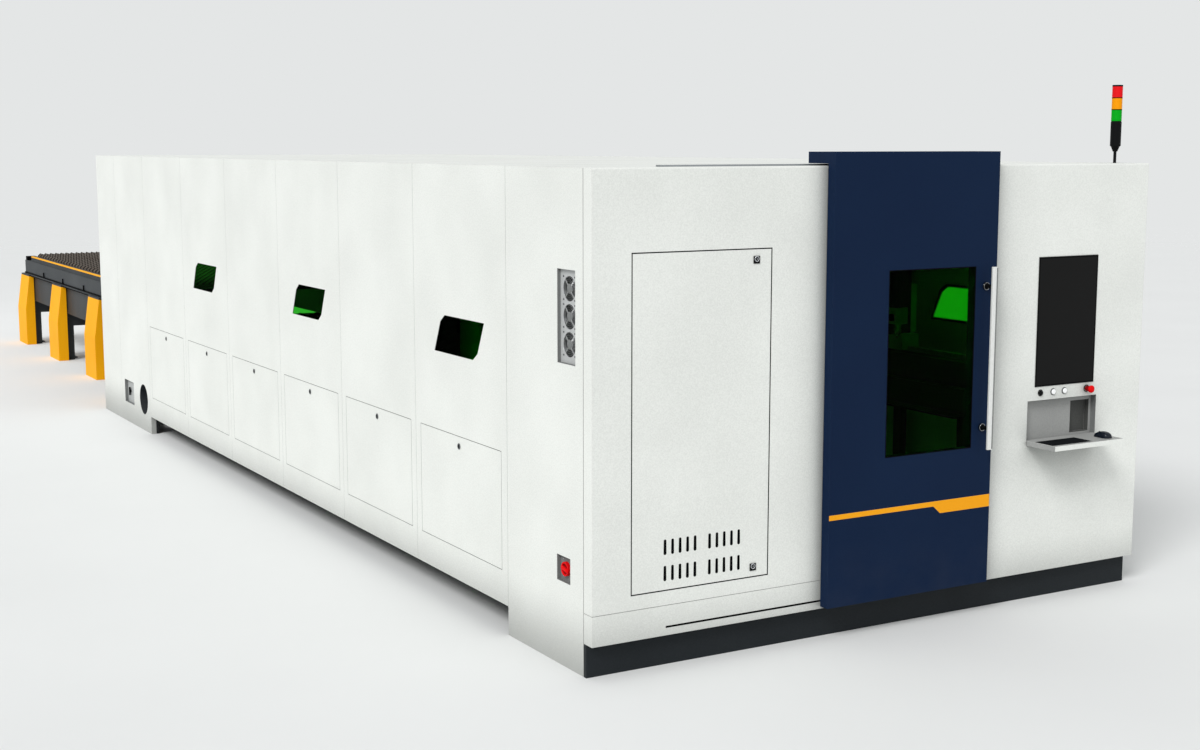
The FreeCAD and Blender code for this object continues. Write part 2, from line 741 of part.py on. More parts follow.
def make_front_right_panel():
    """Console panel with openings for monitor and buttons, and a folded keyboard niche."""
    shell_x = (left("door_left + door_width"), right("0"))
    body = front_shell("front_right", shell_x, ("plinth_height", "height"))
    screen_u = (SCREEN_X[0] + " + screen_lap", SCREEN_X[1] + " - screen_lap")
    screen_v = (SCREEN_Z[0] + " + screen_lap", SCREEN_Z[1] + " - screen_lap")
    opening_in_front(body, screen_u, screen_v)
    opening_in_front(body, NICHE_X, NICHE_Z)
    holes = new_sketch(body, "XZ_Plane", "shell_depth")
    for word in BUTTON_WORDS:
        circle(holes, left(CONSOLE_MIDDLE + " + " + word), "button_z", "button_radius + running")
    body.Tip = pocket(body, holes, "2 * skin")

    tub = block(
        "niche_tub",
        (NICHE_X[0] + " - skin", NICHE_X[1] + " + skin"),
        (FRONT, NICHE_BACK + " + skin"),
        (NICHE_Z[0] + " - skin", NICHE_Z[1] + " + skin"),
    )
    bulge = block(
        "pocket_tub",
        (POCKET_X[0] + " - skin", POCKET_X[1] + " + skin"),
        (NICHE_BACK, NICHE_BACK + " + pocket_depth + skin"),
        (POCKET_Z[0] + " - skin", POCKET_Z[1] + " + skin"),
    )
    room = block("niche_room", NICHE_X, (FRONT + " - past", NICHE_BACK), NICHE_Z)
    pocket_y = (NICHE_BACK + " - past", NICHE_BACK + " + pocket_depth")
    pocket_room = block("pocket_room", POCKET_X, pocket_y, POCKET_Z)
    niche = cut("niche", fuse("niche_walls", tub, bulge), room, pocket_room)
    pins = []
    for side, start in (("left", NICHE_X[0]), ("right", NICHE_X[1] + " - pin_length")):
        pin_at = (start, TRAY_HINGE_Y, TRAY_HINGE_Z)
        pins.append(rod("tray_pin_" + side, "x", pin_at, "tray_pin", "pin_length"))
    node("front_right_panel", fuse("front_right_joined", body, niche, *pins))


# ---------------------------------------------------------------------------
# Electrical cabinet
# ---------------------------------------------------------------------------

def make_cabinet_door():
    """Cabinet door: a folded pan with two groups of ventilation slots in two rows."""
    body = new_body("cabinet_door_body")
    sketch = new_sketch(body, "XZ_Plane", "shell_depth")
    u = (CABINET_X[0] + " + door_gap", CABINET_X[1] + " - door_gap")
    v = (CABINET_Z[0] + " + door_gap", CABINET_Z[1] + " - door_gap")
    rectangle(sketch, u, v)
    body.Tip = shell(body, pad(body, sketch, "door_fold", True), is_back, "skin")
    for row in range(2):
        for bank in range(2):
            slots = new_sketch(body, "XZ_Plane", "shell_depth")
            start = left("louver_first + " + str(bank) + " * louver_group")
            foot = "louver_low + " + str(row) + " * louver_row"
            outline(slots, [
                (start, foot + " + louver_width / 2"),
                (start + " + louver_width / 2", foot),
                (start + " + louver_width", foot + " + louver_width / 2"),
                (start + " + louver_width", foot + " + louver_height - louver_width / 2"),
                (start + " + louver_width / 2", foot + " + louver_height"),
                (start, foot + " + louver_height - louver_width / 2"),
            ])
            first = pocket(body, slots, "2 * skin")
            repeat(body, first, slots, "H_Axis", "4 * louver_pitch", "5")
    locks = new_sketch(body, "XZ_Plane", "shell_depth")
    for word in ("lock_low", "lock_high"):
        circle(locks, left("lock_x"), word, "lock_stem + running")
    body.Tip = pocket(body, locks, "2 * skin")
    bores = []
    high_foot = "cabinet_bottom + cabinet_rise - pin_length - past"
    bore_length = "pin_length + 2 * past"
    for name, foot in (("low", "cabinet_bottom - past"), ("high", high_foot)):
        bore_at = CABINET_HINGE + (foot,)
        bores.append(rod("cabinet_bore_" + name, "z", bore_at, "pin_radius + running", bore_length))
    node("cabinet_door", cut("cabinet_door_bored", body, *bores))


def make_cabinet_locks():
    """Quarter-turn locks: a square plate on the door and a stem through it with a cam."""
    for name, word in (("cabinet_lock_lower", "lock_low"), ("cabinet_lock_upper", "lock_high")):
        plate = block(
            name + "_plate",
            (left("lock_x - lock_side / 2"), left("lock_x + lock_side / 2")),
            (FRONT + " - lock_proud", FRONT + " - slide_gap"),
            (word + " - lock_side / 2", word + " + lock_side / 2"),
        )
        stem_at = (left("lock_x"), FRONT + " - lock_proud", word)
        stem = rod(name + "_stem", "y", stem_at, "lock_stem", "door_fold + lock_proud")
        cam = block(
            name + "_cam",
            (left("lock_x - lock_stem"), left("lock_x + lock_stem")),
            (FRONT + " + door_fold - cam_thick", FRONT + " + door_fold"),
            (word + " - lock_stem", word + " + cam_reach"),
        )
        node(name, fuse(name + "_joined", plate, stem, cam))


CABINET_RIGHT = left("doorway_left - 2 * skin")
DRIVE_COUNT = 3
WIREWAY_COUNT = 3


def make_cabinet_walls():
    """Back, right side, floor and ceiling of the electrical cabinet."""
    walls = hollow(
        "cabinet_box",
        (left("skin + tube"), CABINET_RIGHT),
        ("0", "cabinet_depth"),
        ("lower_seam", "height - skin - tube"),
        ("-y", "-x"),
    )
    node("cabinet_walls", walls)


def make_switchgear():
    """Mounting plate with drives, contactors, wiring ducts and the laser source."""
    back = "cabinet_depth - skin"
    face = back + " - skin"
    low = "cabinet_bottom"
    start = "cabinet_left"

    def fitting(name, x, depth, foot, height):
        """A block on the mounting plate, between two distances from the plate's left edge."""
        ends = (left(start + " + " + x[0]), left(start + " + " + x[1]))
        floor = low + " + " + foot
        return block(name, ends, (face + " - " + depth, face), (floor, floor + " + " + height))

    pieces = [block(
        "mounting_plate",
        (left(start), left(start + " + panel_width")),
        (face, back),
        (low + " + panel_low", low + " + panel_high"),
    )]
    for index in range(DRIVE_COUNT):
        first = "drive_first + " + str(index) + " * drive_pitch"
        x = (first, first + " + drive_width")
        pieces.append(fitting("drive_" + str(index), x, "drive_depth", "drive_low", "drive_height"))
    for index in range(WIREWAY_COUNT):
        foot = "wireway_low + " + str(index) + " * wireway_pitch"
        x = ("wireway_in", "panel_width - wireway_in")
        pieces.append(fitting("wireway_" + str(index), x, "wireway_depth", foot, "wireway_height"))
    x = ("gear_in", "gear_in + contactor_width")
    pieces.append(fitting("contactor_row", x, "contactor_depth", "contactor_low", "contactor_height"))
    x = ("gear_in", "gear_in + terminal_width")
    pieces.append(fitting("terminal_row", x, "terminal_depth", "terminal_low", "terminal_height"))
    source = block(
        "laser_source",
        (left(start), left(start + " + source_width")),
        ("source_front", back + " - source_back"),
        ("lower_seam + skin", low + " + source_top"),
    )
    node("switchgear", group("switchgear_group", fuse("switchgear_panel", *pieces), source))


# ---------------------------------------------------------------------------
# Sliding door
# ---------------------------------------------------------------------------

DOOR_X = (left("door_left"), left("door_left + door_width"))
DOOR_BACK = DOOR_FACE + " + door_thick"
DOOR_WINDOW_X = (left("door_left + window_left"), left("door_left + window_left + window_width"))
DOOR_WINDOW_Z = ("window_bottom", "window_bottom + window_height")
BAR_X = (left("door_left + door_width - bar_right - bar_width"), left("door_left + door_width - bar_right"))
BAR_MIDDLE = left("door_left + door_width - bar_right - bar_width / 2")


def make_sliding_door():
    """Door leaf, its window opening, the hood over the roof and the guide tongues."""
    leaf = new_body("door_leaf")
    sketch = new_sketch(leaf, "XZ_Plane", "shell_depth + door_proud")
    rectangle(sketch, DOOR_X, ("door_bottom", DOOR_TOP))
    leaf.Tip = shell(leaf, pad(leaf, sketch, "door_thick", True), is_back, "skin")
    window = new_sketch(leaf, "XZ_Plane", "shell_depth + door_proud")
    rectangle(window, DOOR_WINDOW_X, DOOR_WINDOW_Z)
    leaf.Tip = pocket(leaf, window, "2 * skin")

    hood = hollow(
        "door_hood",
        DOOR_X,
        (DOOR_FACE, "hood_back"),
        ("height + hood_gap", DOOR_TOP),
        ("-z",),
    )
    rim = cut(
        "window_rim",
        block(
            "window_rim_outside",
            (DOOR_WINDOW_X[0] + " - skin", DOOR_WINDOW_X[1] + " + skin"),
            (DOOR_FACE, DOOR_BACK),
            (DOOR_WINDOW_Z[0] + " - skin", DOOR_WINDOW_Z[1] + " + skin"),
        ),
        block(
            "window_rim_inside",
            DOOR_WINDOW_X,
            (DOOR_FACE + " - past", DOOR_BACK + " + past"),
            DOOR_WINDOW_Z,
        ),
    )
    tongues = []
    near = left("door_left + tongue_inset")
    far = left("door_left + door_width - tongue_inset - tongue_length")
    for name, start in (("near", near), ("far", far)):
        tongues.append(block(
            "tongue_" + name,
            (start, start + " + tongue_length"),
            (DOOR_FACE + " + skin", FRONT + " + 2 * skin"),
            (SLOT_Z[0] + " + slot_gap", SLOT_Z[1] + " - slot_gap"),
        ))
    node("door_panel", fuse("door_joined", leaf, hood, rim, *tongues))


def make_door_window():
    """Laser-safe window pane held in the rim of the door."""
    pane = block(
        "door_pane",
        DOOR_WINDOW_X,
        (DOOR_FACE + " + glass_inset", DOOR_FACE + " + glass_inset + glass"),
        DOOR_WINDOW_Z,
    )
    node("door_window", pane)


def make_door_handle():
    """Long flat handle bar on two turned feet."""
    bar = new_body("handle_bar")
    bar_front = DOOR_FACE + " - bar_reach - bar_thick"
    sketch = new_sketch(bar, "XZ_Plane", "-(" + bar_front + ")")
    rectangle(sketch, BAR_X, ("bar_low", "bar_low + bar_length"))
    lump = pad(bar, sketch, "bar_thick", True)

    def is_outer(edge, box):
        """True for the four upright edges."""
        return edge.ZLength > box.ZLength / 2

    bar.Tip = ease(bar, lump, is_outer, "bar_thick / 5")
    feet = []
    for word in ("standoff_low", "standoff_high"):
        at = (BAR_MIDDLE, DOOR_FACE + " - bar_reach", word)
        feet.append(rod(word + "_neck", "y", at, "standoff_radius", "bar_reach"))
        flange_at = (BAR_MIDDLE, DOOR_FACE + " - flange_thick", word)
        feet.append(rod(word + "_flange", "y", flange_at, "standoff_flange", "flange_thick"))
    node("door_handle", fuse("handle_joined", bar, *feet))


TRACK_TOP = "height + track_height"


def make_door_track():
    """Flat track on the roof that carries the sliding door."""
    track = block(
        "door_track_bar",
        (left("slot_left"), left("door_left + door_width")),
        ("track_y - track_width / 2", "track_y + track_width / 2"),
        ("height", TRACK_TOP),
    )
    node("door_track", track)


def make_door_hangers():
    """Two hanger shoes inside the hood that stand on the track and grip its sides."""
    hangers = []
    for name, start in (
        ("near", left("door_left + hanger_inset")),
        ("far", left("door_left + door_width - hanger_inset - hanger_length")),
    ):
        shoe = block(
            "hanger_shoe_" + name,
            (start, start + " + hanger_length"),
            ("track_y - track_width / 2 - hanger_wall", "track_y + track_width / 2 + hanger_wall"),
            ("height + hanger_up", DOOR_TOP + " - skin"),
        )
        groove = block(
            "hanger_groove_" + name,
            (start + " - past", start + " + hanger_length + past"),
            ("track_y - track_width / 2 - slide_gap", "track_y + track_width / 2 + slide_gap"),
            ("height", TRACK_TOP + " + slide_gap"),
        )
        hangers.append(cut("hanger_" + name, shoe, groove))
    node("door_hangers", group("door_hanger_pair", *hangers))


# ---------------------------------------------------------------------------
# Console
# ---------------------------------------------------------------------------

def make_monitor():
    """Monitor: a thin frame on the panel and the housing behind it."""
    frame = block(
        "monitor_frame",
        SCREEN_X,
        (FRONT + " - screen_proud", FRONT),
        SCREEN_Z,
    )
    housing = block(
        "monitor_housing",
        (SCREEN_X[0] + " + screen_lap + seam", SCREEN_X[1] + " - screen_lap - seam"),
        (FRONT, FRONT + " + screen_depth"),
        (SCREEN_Z[0] + " + screen_lap + seam", SCREEN_Z[1] + " - screen_lap - seam"),
    )
    node("monitor", fuse("monitor_joined", frame, housing))


def turned_button(name, word, profile):
    """A round button turned about its stem, which points into the panel."""
    body = new_body(name + "_body")
    body.Tip = revolve(body, profile)
    body.Placement = Placement(Vector(), Rotation(Vector(1, 0, 0), 90))
    place(body, (left(CONSOLE_MIDDLE + " + " + word), FRONT, "button_z"))
    node(name, body)


def make_buttons():
    """Three push buttons and the emergency stop; each has a collar behind the panel."""
    cap = [
        ("0", "-skin - button_root"),
        ("button_radius", "-skin - button_root"),
        ("button_radius", "-skin - button_seat"),
        ("button_radius + button_collar", "-skin - button_seat"),
        ("button_radius + button_collar", "-skin - slide_gap"),
        ("button_radius", "-skin - slide_gap"),
        ("button_radius", "button_proud - button_ease"),
        ("button_radius - button_ease", "button_proud"),
        ("0", "button_proud"),
    ]
    turned_button("black_button", BUTTON_WORDS[0], cap)
    turned_button("white_button_left", BUTTON_WORDS[1], cap)
    turned_button("white_button_right", BUTTON_WORDS[2], cap)
    mushroom = cap[:6] + [
        ("button_radius", "stop_neck"),
        ("stop_neck_radius", "stop_neck"),
        ("stop_neck_radius", "stop_proud - stop_head"),
        ("stop_radius", "stop_proud - stop_head"),
        ("stop_radius", "stop_proud - stop_head / 2"),
        ("stop_radius * 0.8", "stop_proud - stop_head / 8"),
        ("stop_radius * 0.5", "stop_proud"),
        ("0", "stop_proud"),
    ]
    turned_button("emergency_stop", BUTTON_WORDS[3], mushroom)


TRAY_X = (NICHE_X[0] + " + tray_gap", NICHE_X[1] + " - tray_gap")
TRAY_Z = ("niche_bottom + tray_up", "niche_bottom + tray_up + tray_thick")
TRAY_FRONT = TRAY_HINGE_Y + " - tray_reach"
BOARD_X = (TRAY_X[0] + " + board_left", TRAY_X[0] + " + board_left + board_width")
BOARD_Y = (TRAY_FRONT + " + board_front", TRAY_FRONT + " + board_front + board_depth")
BOARD_TOP = TRAY_Z[1] + " + board_proud"
KEY_ROWS = 4
KEY_PITCH = "(board_depth - 2 * key_edge) / " + str(KEY_ROWS)


def make_keyboard_tray():
    """Fold-up tray: a pan open below, a round hinge end and a well for the keyboard."""
    pan = hollow("tray_pan", TRAY_X, (TRAY_FRONT, TRAY_HINGE_Y), TRAY_Z, ("-z",))
    hinge_end = rod(
        "tray_hinge_end", "x", (TRAY_X[0], TRAY_HINGE_Y, TRAY_HINGE_Z),
        "tray_thick / 2", "niche_width - 2 * tray_gap",
    )
    well = block(
        "board_well",
        (BOARD_X[0] + " - skin", BOARD_X[1] + " + skin"),
        (BOARD_Y[0] + " - skin", BOARD_Y[1] + " + skin"),
        (BOARD_TOP + " - board_thick - skin", TRAY_Z[1]),
    )
    room = block("board_room", BOARD_X, BOARD_Y, (BOARD_TOP + " - board_thick", TRAY_Z[1] + " + past"))
    bores = []
    for side, start in (("left", NICHE_X[0] + " - past"), ("right", NICHE_X[1] + " - pin_length - past")):
        bore_at = (start, TRAY_HINGE_Y, TRAY_HINGE_Z)
        bores.append(rod("tray_bore_" + side, "x", bore_at, "tray_pin + running", "pin_length + 2 * past"))
    node("keyboard_tray", cut("tray_bored", fuse("tray_joined", pan, hinge_end, well), room, *bores))


def make_keyboard():
    """Keyboard let into the tray: a base with four raised rows of keys."""
    base_z = (BOARD_TOP + " - board_thick", BOARD_TOP + " - key_height")
    base = block("board_base", BOARD_X, BOARD_Y, base_z)
    rows = []
    for index in range(KEY_ROWS):
        foot = BOARD_Y[0] + " + key_edge + " + str(index) + " * " + KEY_PITCH
        rows.append(block(
            "key_row_" + str(index),
            (BOARD_X[0] + " + key_side", BOARD_X[1] + " - key_side"),
            (foot + " + key_gap", foot + " + " + KEY_PITCH + " - key_gap"),
            (BOARD_TOP + " - key_height", BOARD_TOP),
        ))
    node("keyboard", fuse("keyboard_joined", base, *rows))


def make_mouse():
    """Mouse resting on the tray: an arched back, drawn in at both ends."""
    body = new_body("mouse_body")
    sketch = new_sketch(body, "YZ_Plane", "0")
    outline(sketch, [
        ("0", "0"),
        ("mouse_length", "0"),
        ("mouse_length", "mouse_height * 0.4"),
        ("mouse_length * 0.86", "mouse_height * 0.82"),
        ("mouse_length * 0.62", "mouse_height"),
        ("mouse_length * 0.36", "mouse_height * 0.88"),
        ("mouse_length * 0.12", "mouse_height * 0.55"),
        ("0", "mouse_height * 0.25"),
    ])
    lump = pad(body, sketch, "mouse_width")

    def is_corner(edge, box):
        """True for the four upright corners."""
        return edge.XLength < 1e-4 and edge.YLength < 1e-4

    body.Tip = ease(body, lump, is_corner, "mouse_width / 5")
    place(body, (TRAY_X[0] + " + mouse_left", TRAY_FRONT + " + mouse_front", TRAY_Z[1]))
    node("mouse", body)


# ---------------------------------------------------------------------------
# Tower light
# ---------------------------------------------------------------------------

LENSES = ("green", "amber", "red")


def make_tower_light():
    """Pole and black base, and three lenses with dark rings between them."""
    at = (right("beacon_in"), "beacon_y")
    base_foot = "height + pole_height + neck_height"
    lens_foot = base_foot + " + base_height"
    step = "(lens_height + ring_height)"
    pieces = [
        rod("beacon_foot", "z", at + ("height",), "3 * pole_radius", "foot_plate"),
        rod("beacon_pole", "z", at + ("height",), "pole_radius", "pole_height"),
        cone(
            "beacon_neck", at + ("height + pole_height",),
            "pole_radius * 1.5", "lens_radius * 0.8", "neck_height",
        ),
        cone("beacon_body", at + (base_foot,), "lens_radius * 0.93", "lens_radius", "base_height"),
    ]
    column = fuse("beacon_column", *pieces)
    rings = [column]
    for index in range(1, len(LENSES)):
        ring_foot = lens_foot + " + " + str(index) + " * " + step + " - ring_height"
        rings.append(rod("beacon_ring_" + str(index), "z", at + (ring_foot,), "lens_radius", "ring_height"))
    cap_foot = lens_foot + " + " + str(len(LENSES)) + " * " + step + " - ring_height"
    rings.append(cone("beacon_cap", at + (cap_foot,), "lens_radius", "lens_radius * 0.9", "2 * ring_height"))
    node("beacon_base", group("beacon_dark_parts", *rings))
    for index, colour in enumerate(LENSES):
        foot = lens_foot + " + " + str(index) + " * " + step
        lens = rod("beacon_lens_" + colour, "z", at + (foot,), "lens_radius * 0.98", "lens_height")
        node("beacon_" + colour, lens)


# ---------------------------------------------------------------------------
# Side panels, roof and rear wall
# ---------------------------------------------------------------------------

LEFT_SKIN = (left("0"), left("skin"))
RIGHT_SKIN = (right("skin"), right("0"))
PANEL_TOP = "height - skin"
FLAP_Z = ("flap_bottom", "flap_bottom + flap_height")
FLAP_HINGE_X = left("hinge_in")
FLAP_HINGE_Z = "flap_bottom + hinge_up"


def flap_ends(index):
    """Both ends of a scrap flap opening, between the seams of its panel."""
    return (panel_edge(index) + " + flap_inset", panel_edge(index + 1) + " - flap_inset")


def window_corners(index, grow):
    """Six corners of a slanted side window, its upper rear and lower front corners eased."""
    start = panel_edge(index) + " + pane_start"
    low = "pane_bottom - " + grow
    high = "pane_bottom + pane_height + " + grow
    return [
        (start + " + pane_shift + pane_corner - " + grow, low),
        (start + " + pane_shift + pane_length + " + grow, low),
        (start + " + pane_length + pane_corner / 2 + " + grow, high + " - pane_corner"),
        (start + " + pane_length - pane_corner + " + grow, high),
        (start + " - " + grow, high),
        (start + " + pane_shift - pane_corner / 2 - " + grow, low + " + pane_corner"),
    ]


def side_panel(name, index, at_left, with_flap, with_window):
    """One side panel, cut for its window and its scrap flap."""
    body = new_body(name)
    sketch = new_sketch(body, "YZ_Plane", left("0") if at_left else right("skin"))
    rectangle(sketch, seam_ends(panel_edge(index), panel_edge(index + 1)), ("sill", PANEL_TOP))
    pad(body, sketch, "skin")
    if with_window:
        window = new_sketch(body, "YZ_Plane", left("0") if at_left else right("skin"))
        outline(window, window_corners(index, "0"))
        body.Tip = pocket(body, window, "skin", True)
    if with_flap:
        hole = new_sketch(body, "YZ_Plane", left("0"))
        rectangle(hole, flap_ends(index), FLAP_Z)
        body.Tip = pocket(body, hole, "skin", True)
    return body


def make_left_side_panels():
    """Six panels with scrap flap openings, folded edges and hinge pins; three have windows."""
    panels = []
    for index in range(PANEL_COUNT):
        tag = "left_panel_" + str(index + 1)
        body = side_panel(tag, index, True, True, index in WINDOW_PANELS)
        ends = flap_ends(index)
        fold = cut(
            tag + "_fold",
            block(
                tag + "_fold_outside",
                (left("0"), left("door_fold")),
                (ends[0] + " - skin", ends[1] + " + skin"),
                (FLAP_Z[0] + " - skin", FLAP_Z[1] + " + skin"),
            ),
            block(tag + "_fold_inside", (left("-past"), left("door_fold + past")), ends, FLAP_Z),
        )
        pins = []
        for side, start in (("front", ends[0]), ("rear", ends[1] + " - pin_length")):
            pin_at = (FLAP_HINGE_X, start, FLAP_HINGE_Z)
            pins.append(rod(tag + "_pin_" + side, "y", pin_at, "pin_radius", "pin_length"))
        panels.append(fuse(tag + "_joined", body, fold, *pins))
    node("left_side_panels", group("left_side_group", *panels))


def make_flaps():
    """Six scrap flaps, each a folded pan with a lock and bores for its hinge pins."""
    for index in range(PANEL_COUNT):
        tag = "flap_" + str(index + 1)
        ends = flap_ends(index)
        pan = hollow(
            tag + "_pan",
            (left("0"), left("door_fold")),
            (ends[0] + " + door_gap", ends[1] + " - door_gap"),
            (FLAP_Z[0] + " + door_gap", FLAP_Z[1] + " - door_gap"),
            ("+x",),
        )
        middle = panel_edge(index) + " + " + PANEL_PITCH + " / 2"
        lock_at = (left("-flap_lock_proud"), middle, "flap_lock_z")
        lock = rod(tag + "_lock", "x", lock_at, "flap_lock_radius", "door_fold")
        bores = []
        for side, start in (("front", ends[0] + " - past"), ("rear", ends[1] + " - pin_length - past")):
            bore_at = (FLAP_HINGE_X, start, FLAP_HINGE_Z)
            bore_tag = tag + "_bore_" + side
            bores.append(rod(bore_tag, "y", bore_at, "pin_radius + running", "pin_length + 2 * past"))
        node("scrap_" + tag, cut(tag + "_bored", fuse(tag + "_joined", pan, lock), *bores))


def recess(name, ends, heights, depth):
    """A folded tub set into the left side, open to the outside, and its room."""
    walls = block(
        name + "_walls",
        (left("0"), left(depth + " + skin")),
        (ends[0] + " - skin", ends[1] + " + skin"),
        (heights[0] + " - skin", heights[1] + " + skin"),
    )
    room = block(name + "_room", (left("-past"), left(depth)), ends, heights)
    return walls, room


FAN_Y = ("fan_front", "fan_front + fan_length")
FAN_Z = ("fan_bottom", "fan_bottom + fan_height")
FAN_MIDDLE = "fan_front + fan_length / 2"
SWITCH_Y = ("switch_front", "switch_front + switch_length")
SWITCH_Z = ("switch_bottom", "switch_bottom + switch_height")
ISOLATOR_Y = (REAR_SECTION + " + isolator_along", REAR_SECTION + " + isolator_along + isolator_length")
ISOLATOR_Z = ("isolator_bottom", "isolator_bottom + isolator_height")
SWITCH_MIDDLE = ("switch_front + switch_length / 2", "switch_bottom + switch_height / 2")
LEVER_MIDDLE = (ISOLATOR_Y[0] + " + lever_along", "isolator_bottom + isolator_height / 2")


def fan_height_at(index):
    """Formula for the height of one fan's shaft."""
    return "fan_bottom + fan_height / 2 + " + str(index - 1) + " * fan_pitch"


def make_left_front_panel():
    """Corner panel down to the floor, with the fan recess and the main switch recess."""
    sheet_metal = block("left_front_sheet", LEFT_SKIN, CORNER_Y, ("0", PANEL_TOP))
    fan_walls, fan_room = recess("fan_recess", FAN_Y, FAN_Z, "recess_depth")
    vent = block(
        "fan_vent",
        (left("recess_depth - past"), left("recess_depth + skin + past")),
        (FAN_Y[0] + " + vent_side", FAN_Y[1] + " - vent_side"),
        (FAN_Z[0] + " + vent_end", FAN_Z[1] + " - vent_end"),
    )
    switch_walls, switch_room = recess("switch_recess", SWITCH_Y, SWITCH_Z, "recess_depth")
    hole = rod(
        "switch_hole", "x", (left("0"),) + SWITCH_MIDDLE,
        "lock_stem + running", "recess_depth + 2 * skin",
    )
    joined = fuse("left_front_joined", sheet_metal, fan_walls, switch_walls)
    node("left_front_panel", cut("left_front_cut", joined, fan_room, vent, switch_room, hole))


def make_left_rear_panels():
    """Two rear panels down to the floor: extraction duct hole and rear switch recess."""
    split = REAR_SECTION + " + rear_split"
    first = block("left_rear_sheet", LEFT_SKIN, seam_ends(REAR_SECTION, split), ("0", PANEL_TOP))
    edge = block(
        "left_rear_return",
        (left("0"), left("rear_return")),
        (REAR_SECTION + " + seam / 2", REAR_SECTION + " + seam / 2 + skin"),
        ("0", "sill"),
    )
    walls, room = recess("isolator_recess", ISOLATOR_Y, ISOLATOR_Z, "isolator_depth")
    duct_at = (left("-past"), REAR_SECTION + " + duct_along", "duct_z")
    duct = rod("duct_hole", "x", duct_at, "duct_radius", "skin + 2 * past")
    hole = rod(
        "isolator_hole", "x", (left("0"),) + LEVER_MIDDLE,
        "lock_stem + running", "isolator_depth + 2 * skin",
    )
    front_sheet = cut("left_rear_front", fuse("left_rear_joined", first, edge, walls), room, duct, hole)
    last = block("left_end_sheet", LEFT_SKIN, seam_ends(split, "side_length"), ("0", PANEL_TOP))
    node("left_rear_panels", group("left_rear_group", front_sheet, last))


def make_right_side_panels():
    """Right side: the same seams as the left, three windows, no flaps."""
    panels = [block("right_front_sheet", RIGHT_SKIN, CORNER_Y, ("0", PANEL_TOP))]
    for index in range(PANEL_COUNT):
        tag = "right_panel_" + str(index + 1)
        panels.append(side_panel(tag, index, False, False, index in WINDOW_PANELS))
    split = REAR_SECTION + " + rear_split"
    panels.append(block("right_rear_sheet", RIGHT_SKIN, seam_ends(REAR_SECTION, split), ("0", PANEL_TOP)))
    panels.append(block("right_end_sheet", RIGHT_SKIN, seam_ends(split, "side_length"), ("0", PANEL_TOP)))
    node("right_side_panels", group("right_side_group", *panels))


def make_side_windows():
    """Laser-safe panes behind the slanted windows of both sides."""
    panes = []
    for side, offset in (("left", left("skin")), ("right", right("skin + glass"))):
        for index in WINDOW_PANELS:
            body = new_body("pane_" + side + "_" + str(index + 1))
            sketch = new_sketch(body, "YZ_Plane", offset)
            outline(sketch, window_corners(index, "glass_lap"))
            body.Tip = pad(body, sketch, "glass")
            panes.append(body)
    node("side_windows", group("side_window_group", *panes))


def make_roof():
    """Roof sheets on the side frames, with the same seams as the side panels."""
    edges = ["0"] + [panel_edge(index) for index in range(PANEL_COUNT + 1)] + ["side_length"]
    sheets = []
    for index in range(len(edges) - 1):
        ends = seam_ends(edges[index], edges[index + 1])
        sheets.append(block("roof_sheet_" + str(index), (left("0"), right("0")), ends, (PANEL_TOP, "height")))
    node("roof_panels", group("roof_group", *sheets))


GATE_X = (left("gate_side"), right("gate_side"))
GATE_Z = ("gate_bottom", "gate_bottom + gate_height")


def make_rear_wall():
    """Rear wall with the pallet gate and a folded frame round it."""
    wall_y = ("side_length - skin", "side_length")
    wall = block("rear_sheet", (left("skin"), right("skin")), wall_y, ("0", PANEL_TOP))
    frame = block(
        "gate_frame",
        (GATE_X[0] + " - skin", GATE_X[1] + " + skin"),
        ("side_length - door_fold", "side_length + skin"),
        (GATE_Z[0] + " - skin", GATE_Z[1] + " + skin"),
    )
    gate_y = ("side_length - door_fold - past", "side_length + skin + past")
    gate = block("gate_room", GATE_X, gate_y, GATE_Z)
    node("rear_wall", cut("rear_wall_cut", fuse("rear_wall_joined", wall, frame), gate))


LEG_X = ("beam_in + leg_out", "beam_in + beam_width - leg_in")
POST_TOP = "height - skin - tube"
TUBE_X = ("skin", "skin + tube")


def make_side_frames():
    """Square tubes: posts to the floor at the corners and at the rear section, a sill rail
    between them that is tied to the bed, posts on it behind each seam, and the roof bars."""
    long_posts = ["0", REAR_SECTION + " + seam / 2 + skin", "side_length - skin - tube"]
    seam_posts = [panel_edge(index) + " - tube / 2" for index in range(PANEL_COUNT)]
    sill_z = ("sill", "sill + tube")
    pieces = []
    for side, formula in SIDES:
        x = both_ends(formula, *TUBE_X)
        for index, foot in enumerate(long_posts):
            tag = "long_post_" + side + "_" + str(index)
            pieces.append(block(tag, x, (foot, foot + " + tube"), ("0", POST_TOP)))
        for index, foot in enumerate(seam_posts):
            tag = "seam_post_" + side + "_" + str(index)
            pieces.append(block(tag, x, (foot, foot + " + tube"), (sill_z[1], POST_TOP)))
        pieces.append(block("sill_rail_" + side, x, ("tube", long_posts[1]), sill_z))
        pieces.append(block("top_rail_" + side, x, ("0", "side_length - skin"), (POST_TOP, PANEL_TOP)))
        reach = both_ends(formula, TUBE_X[1], LEG_X[0])
        for index in range(1, PANEL_COUNT + 1):
            tie_y = (panel_edge(index) + " - tube / 2", panel_edge(index) + " + tube / 2")
            pieces.append(block("bed_tie_" + side + "_" + str(index), reach, tie_y, sill_z))
    across = (left(TUBE_X[1]), right(TUBE_X[1]))
    for index, foot in enumerate(long_posts + seam_posts):
        bar_y = (foot, foot + " + tube")
        pieces.append(block("roof_bar_" + str(index), across, bar_y, (POST_TOP, PANEL_TOP)))
    node("side_frames", group("side_frame_group", *pieces))


# ---------------------------------------------------------------------------
# Fans and rotary switches
# ---------------------------------------------------------------------------

FAN_COUNT = 3
SPOKE_ANGLES = (45, 135)


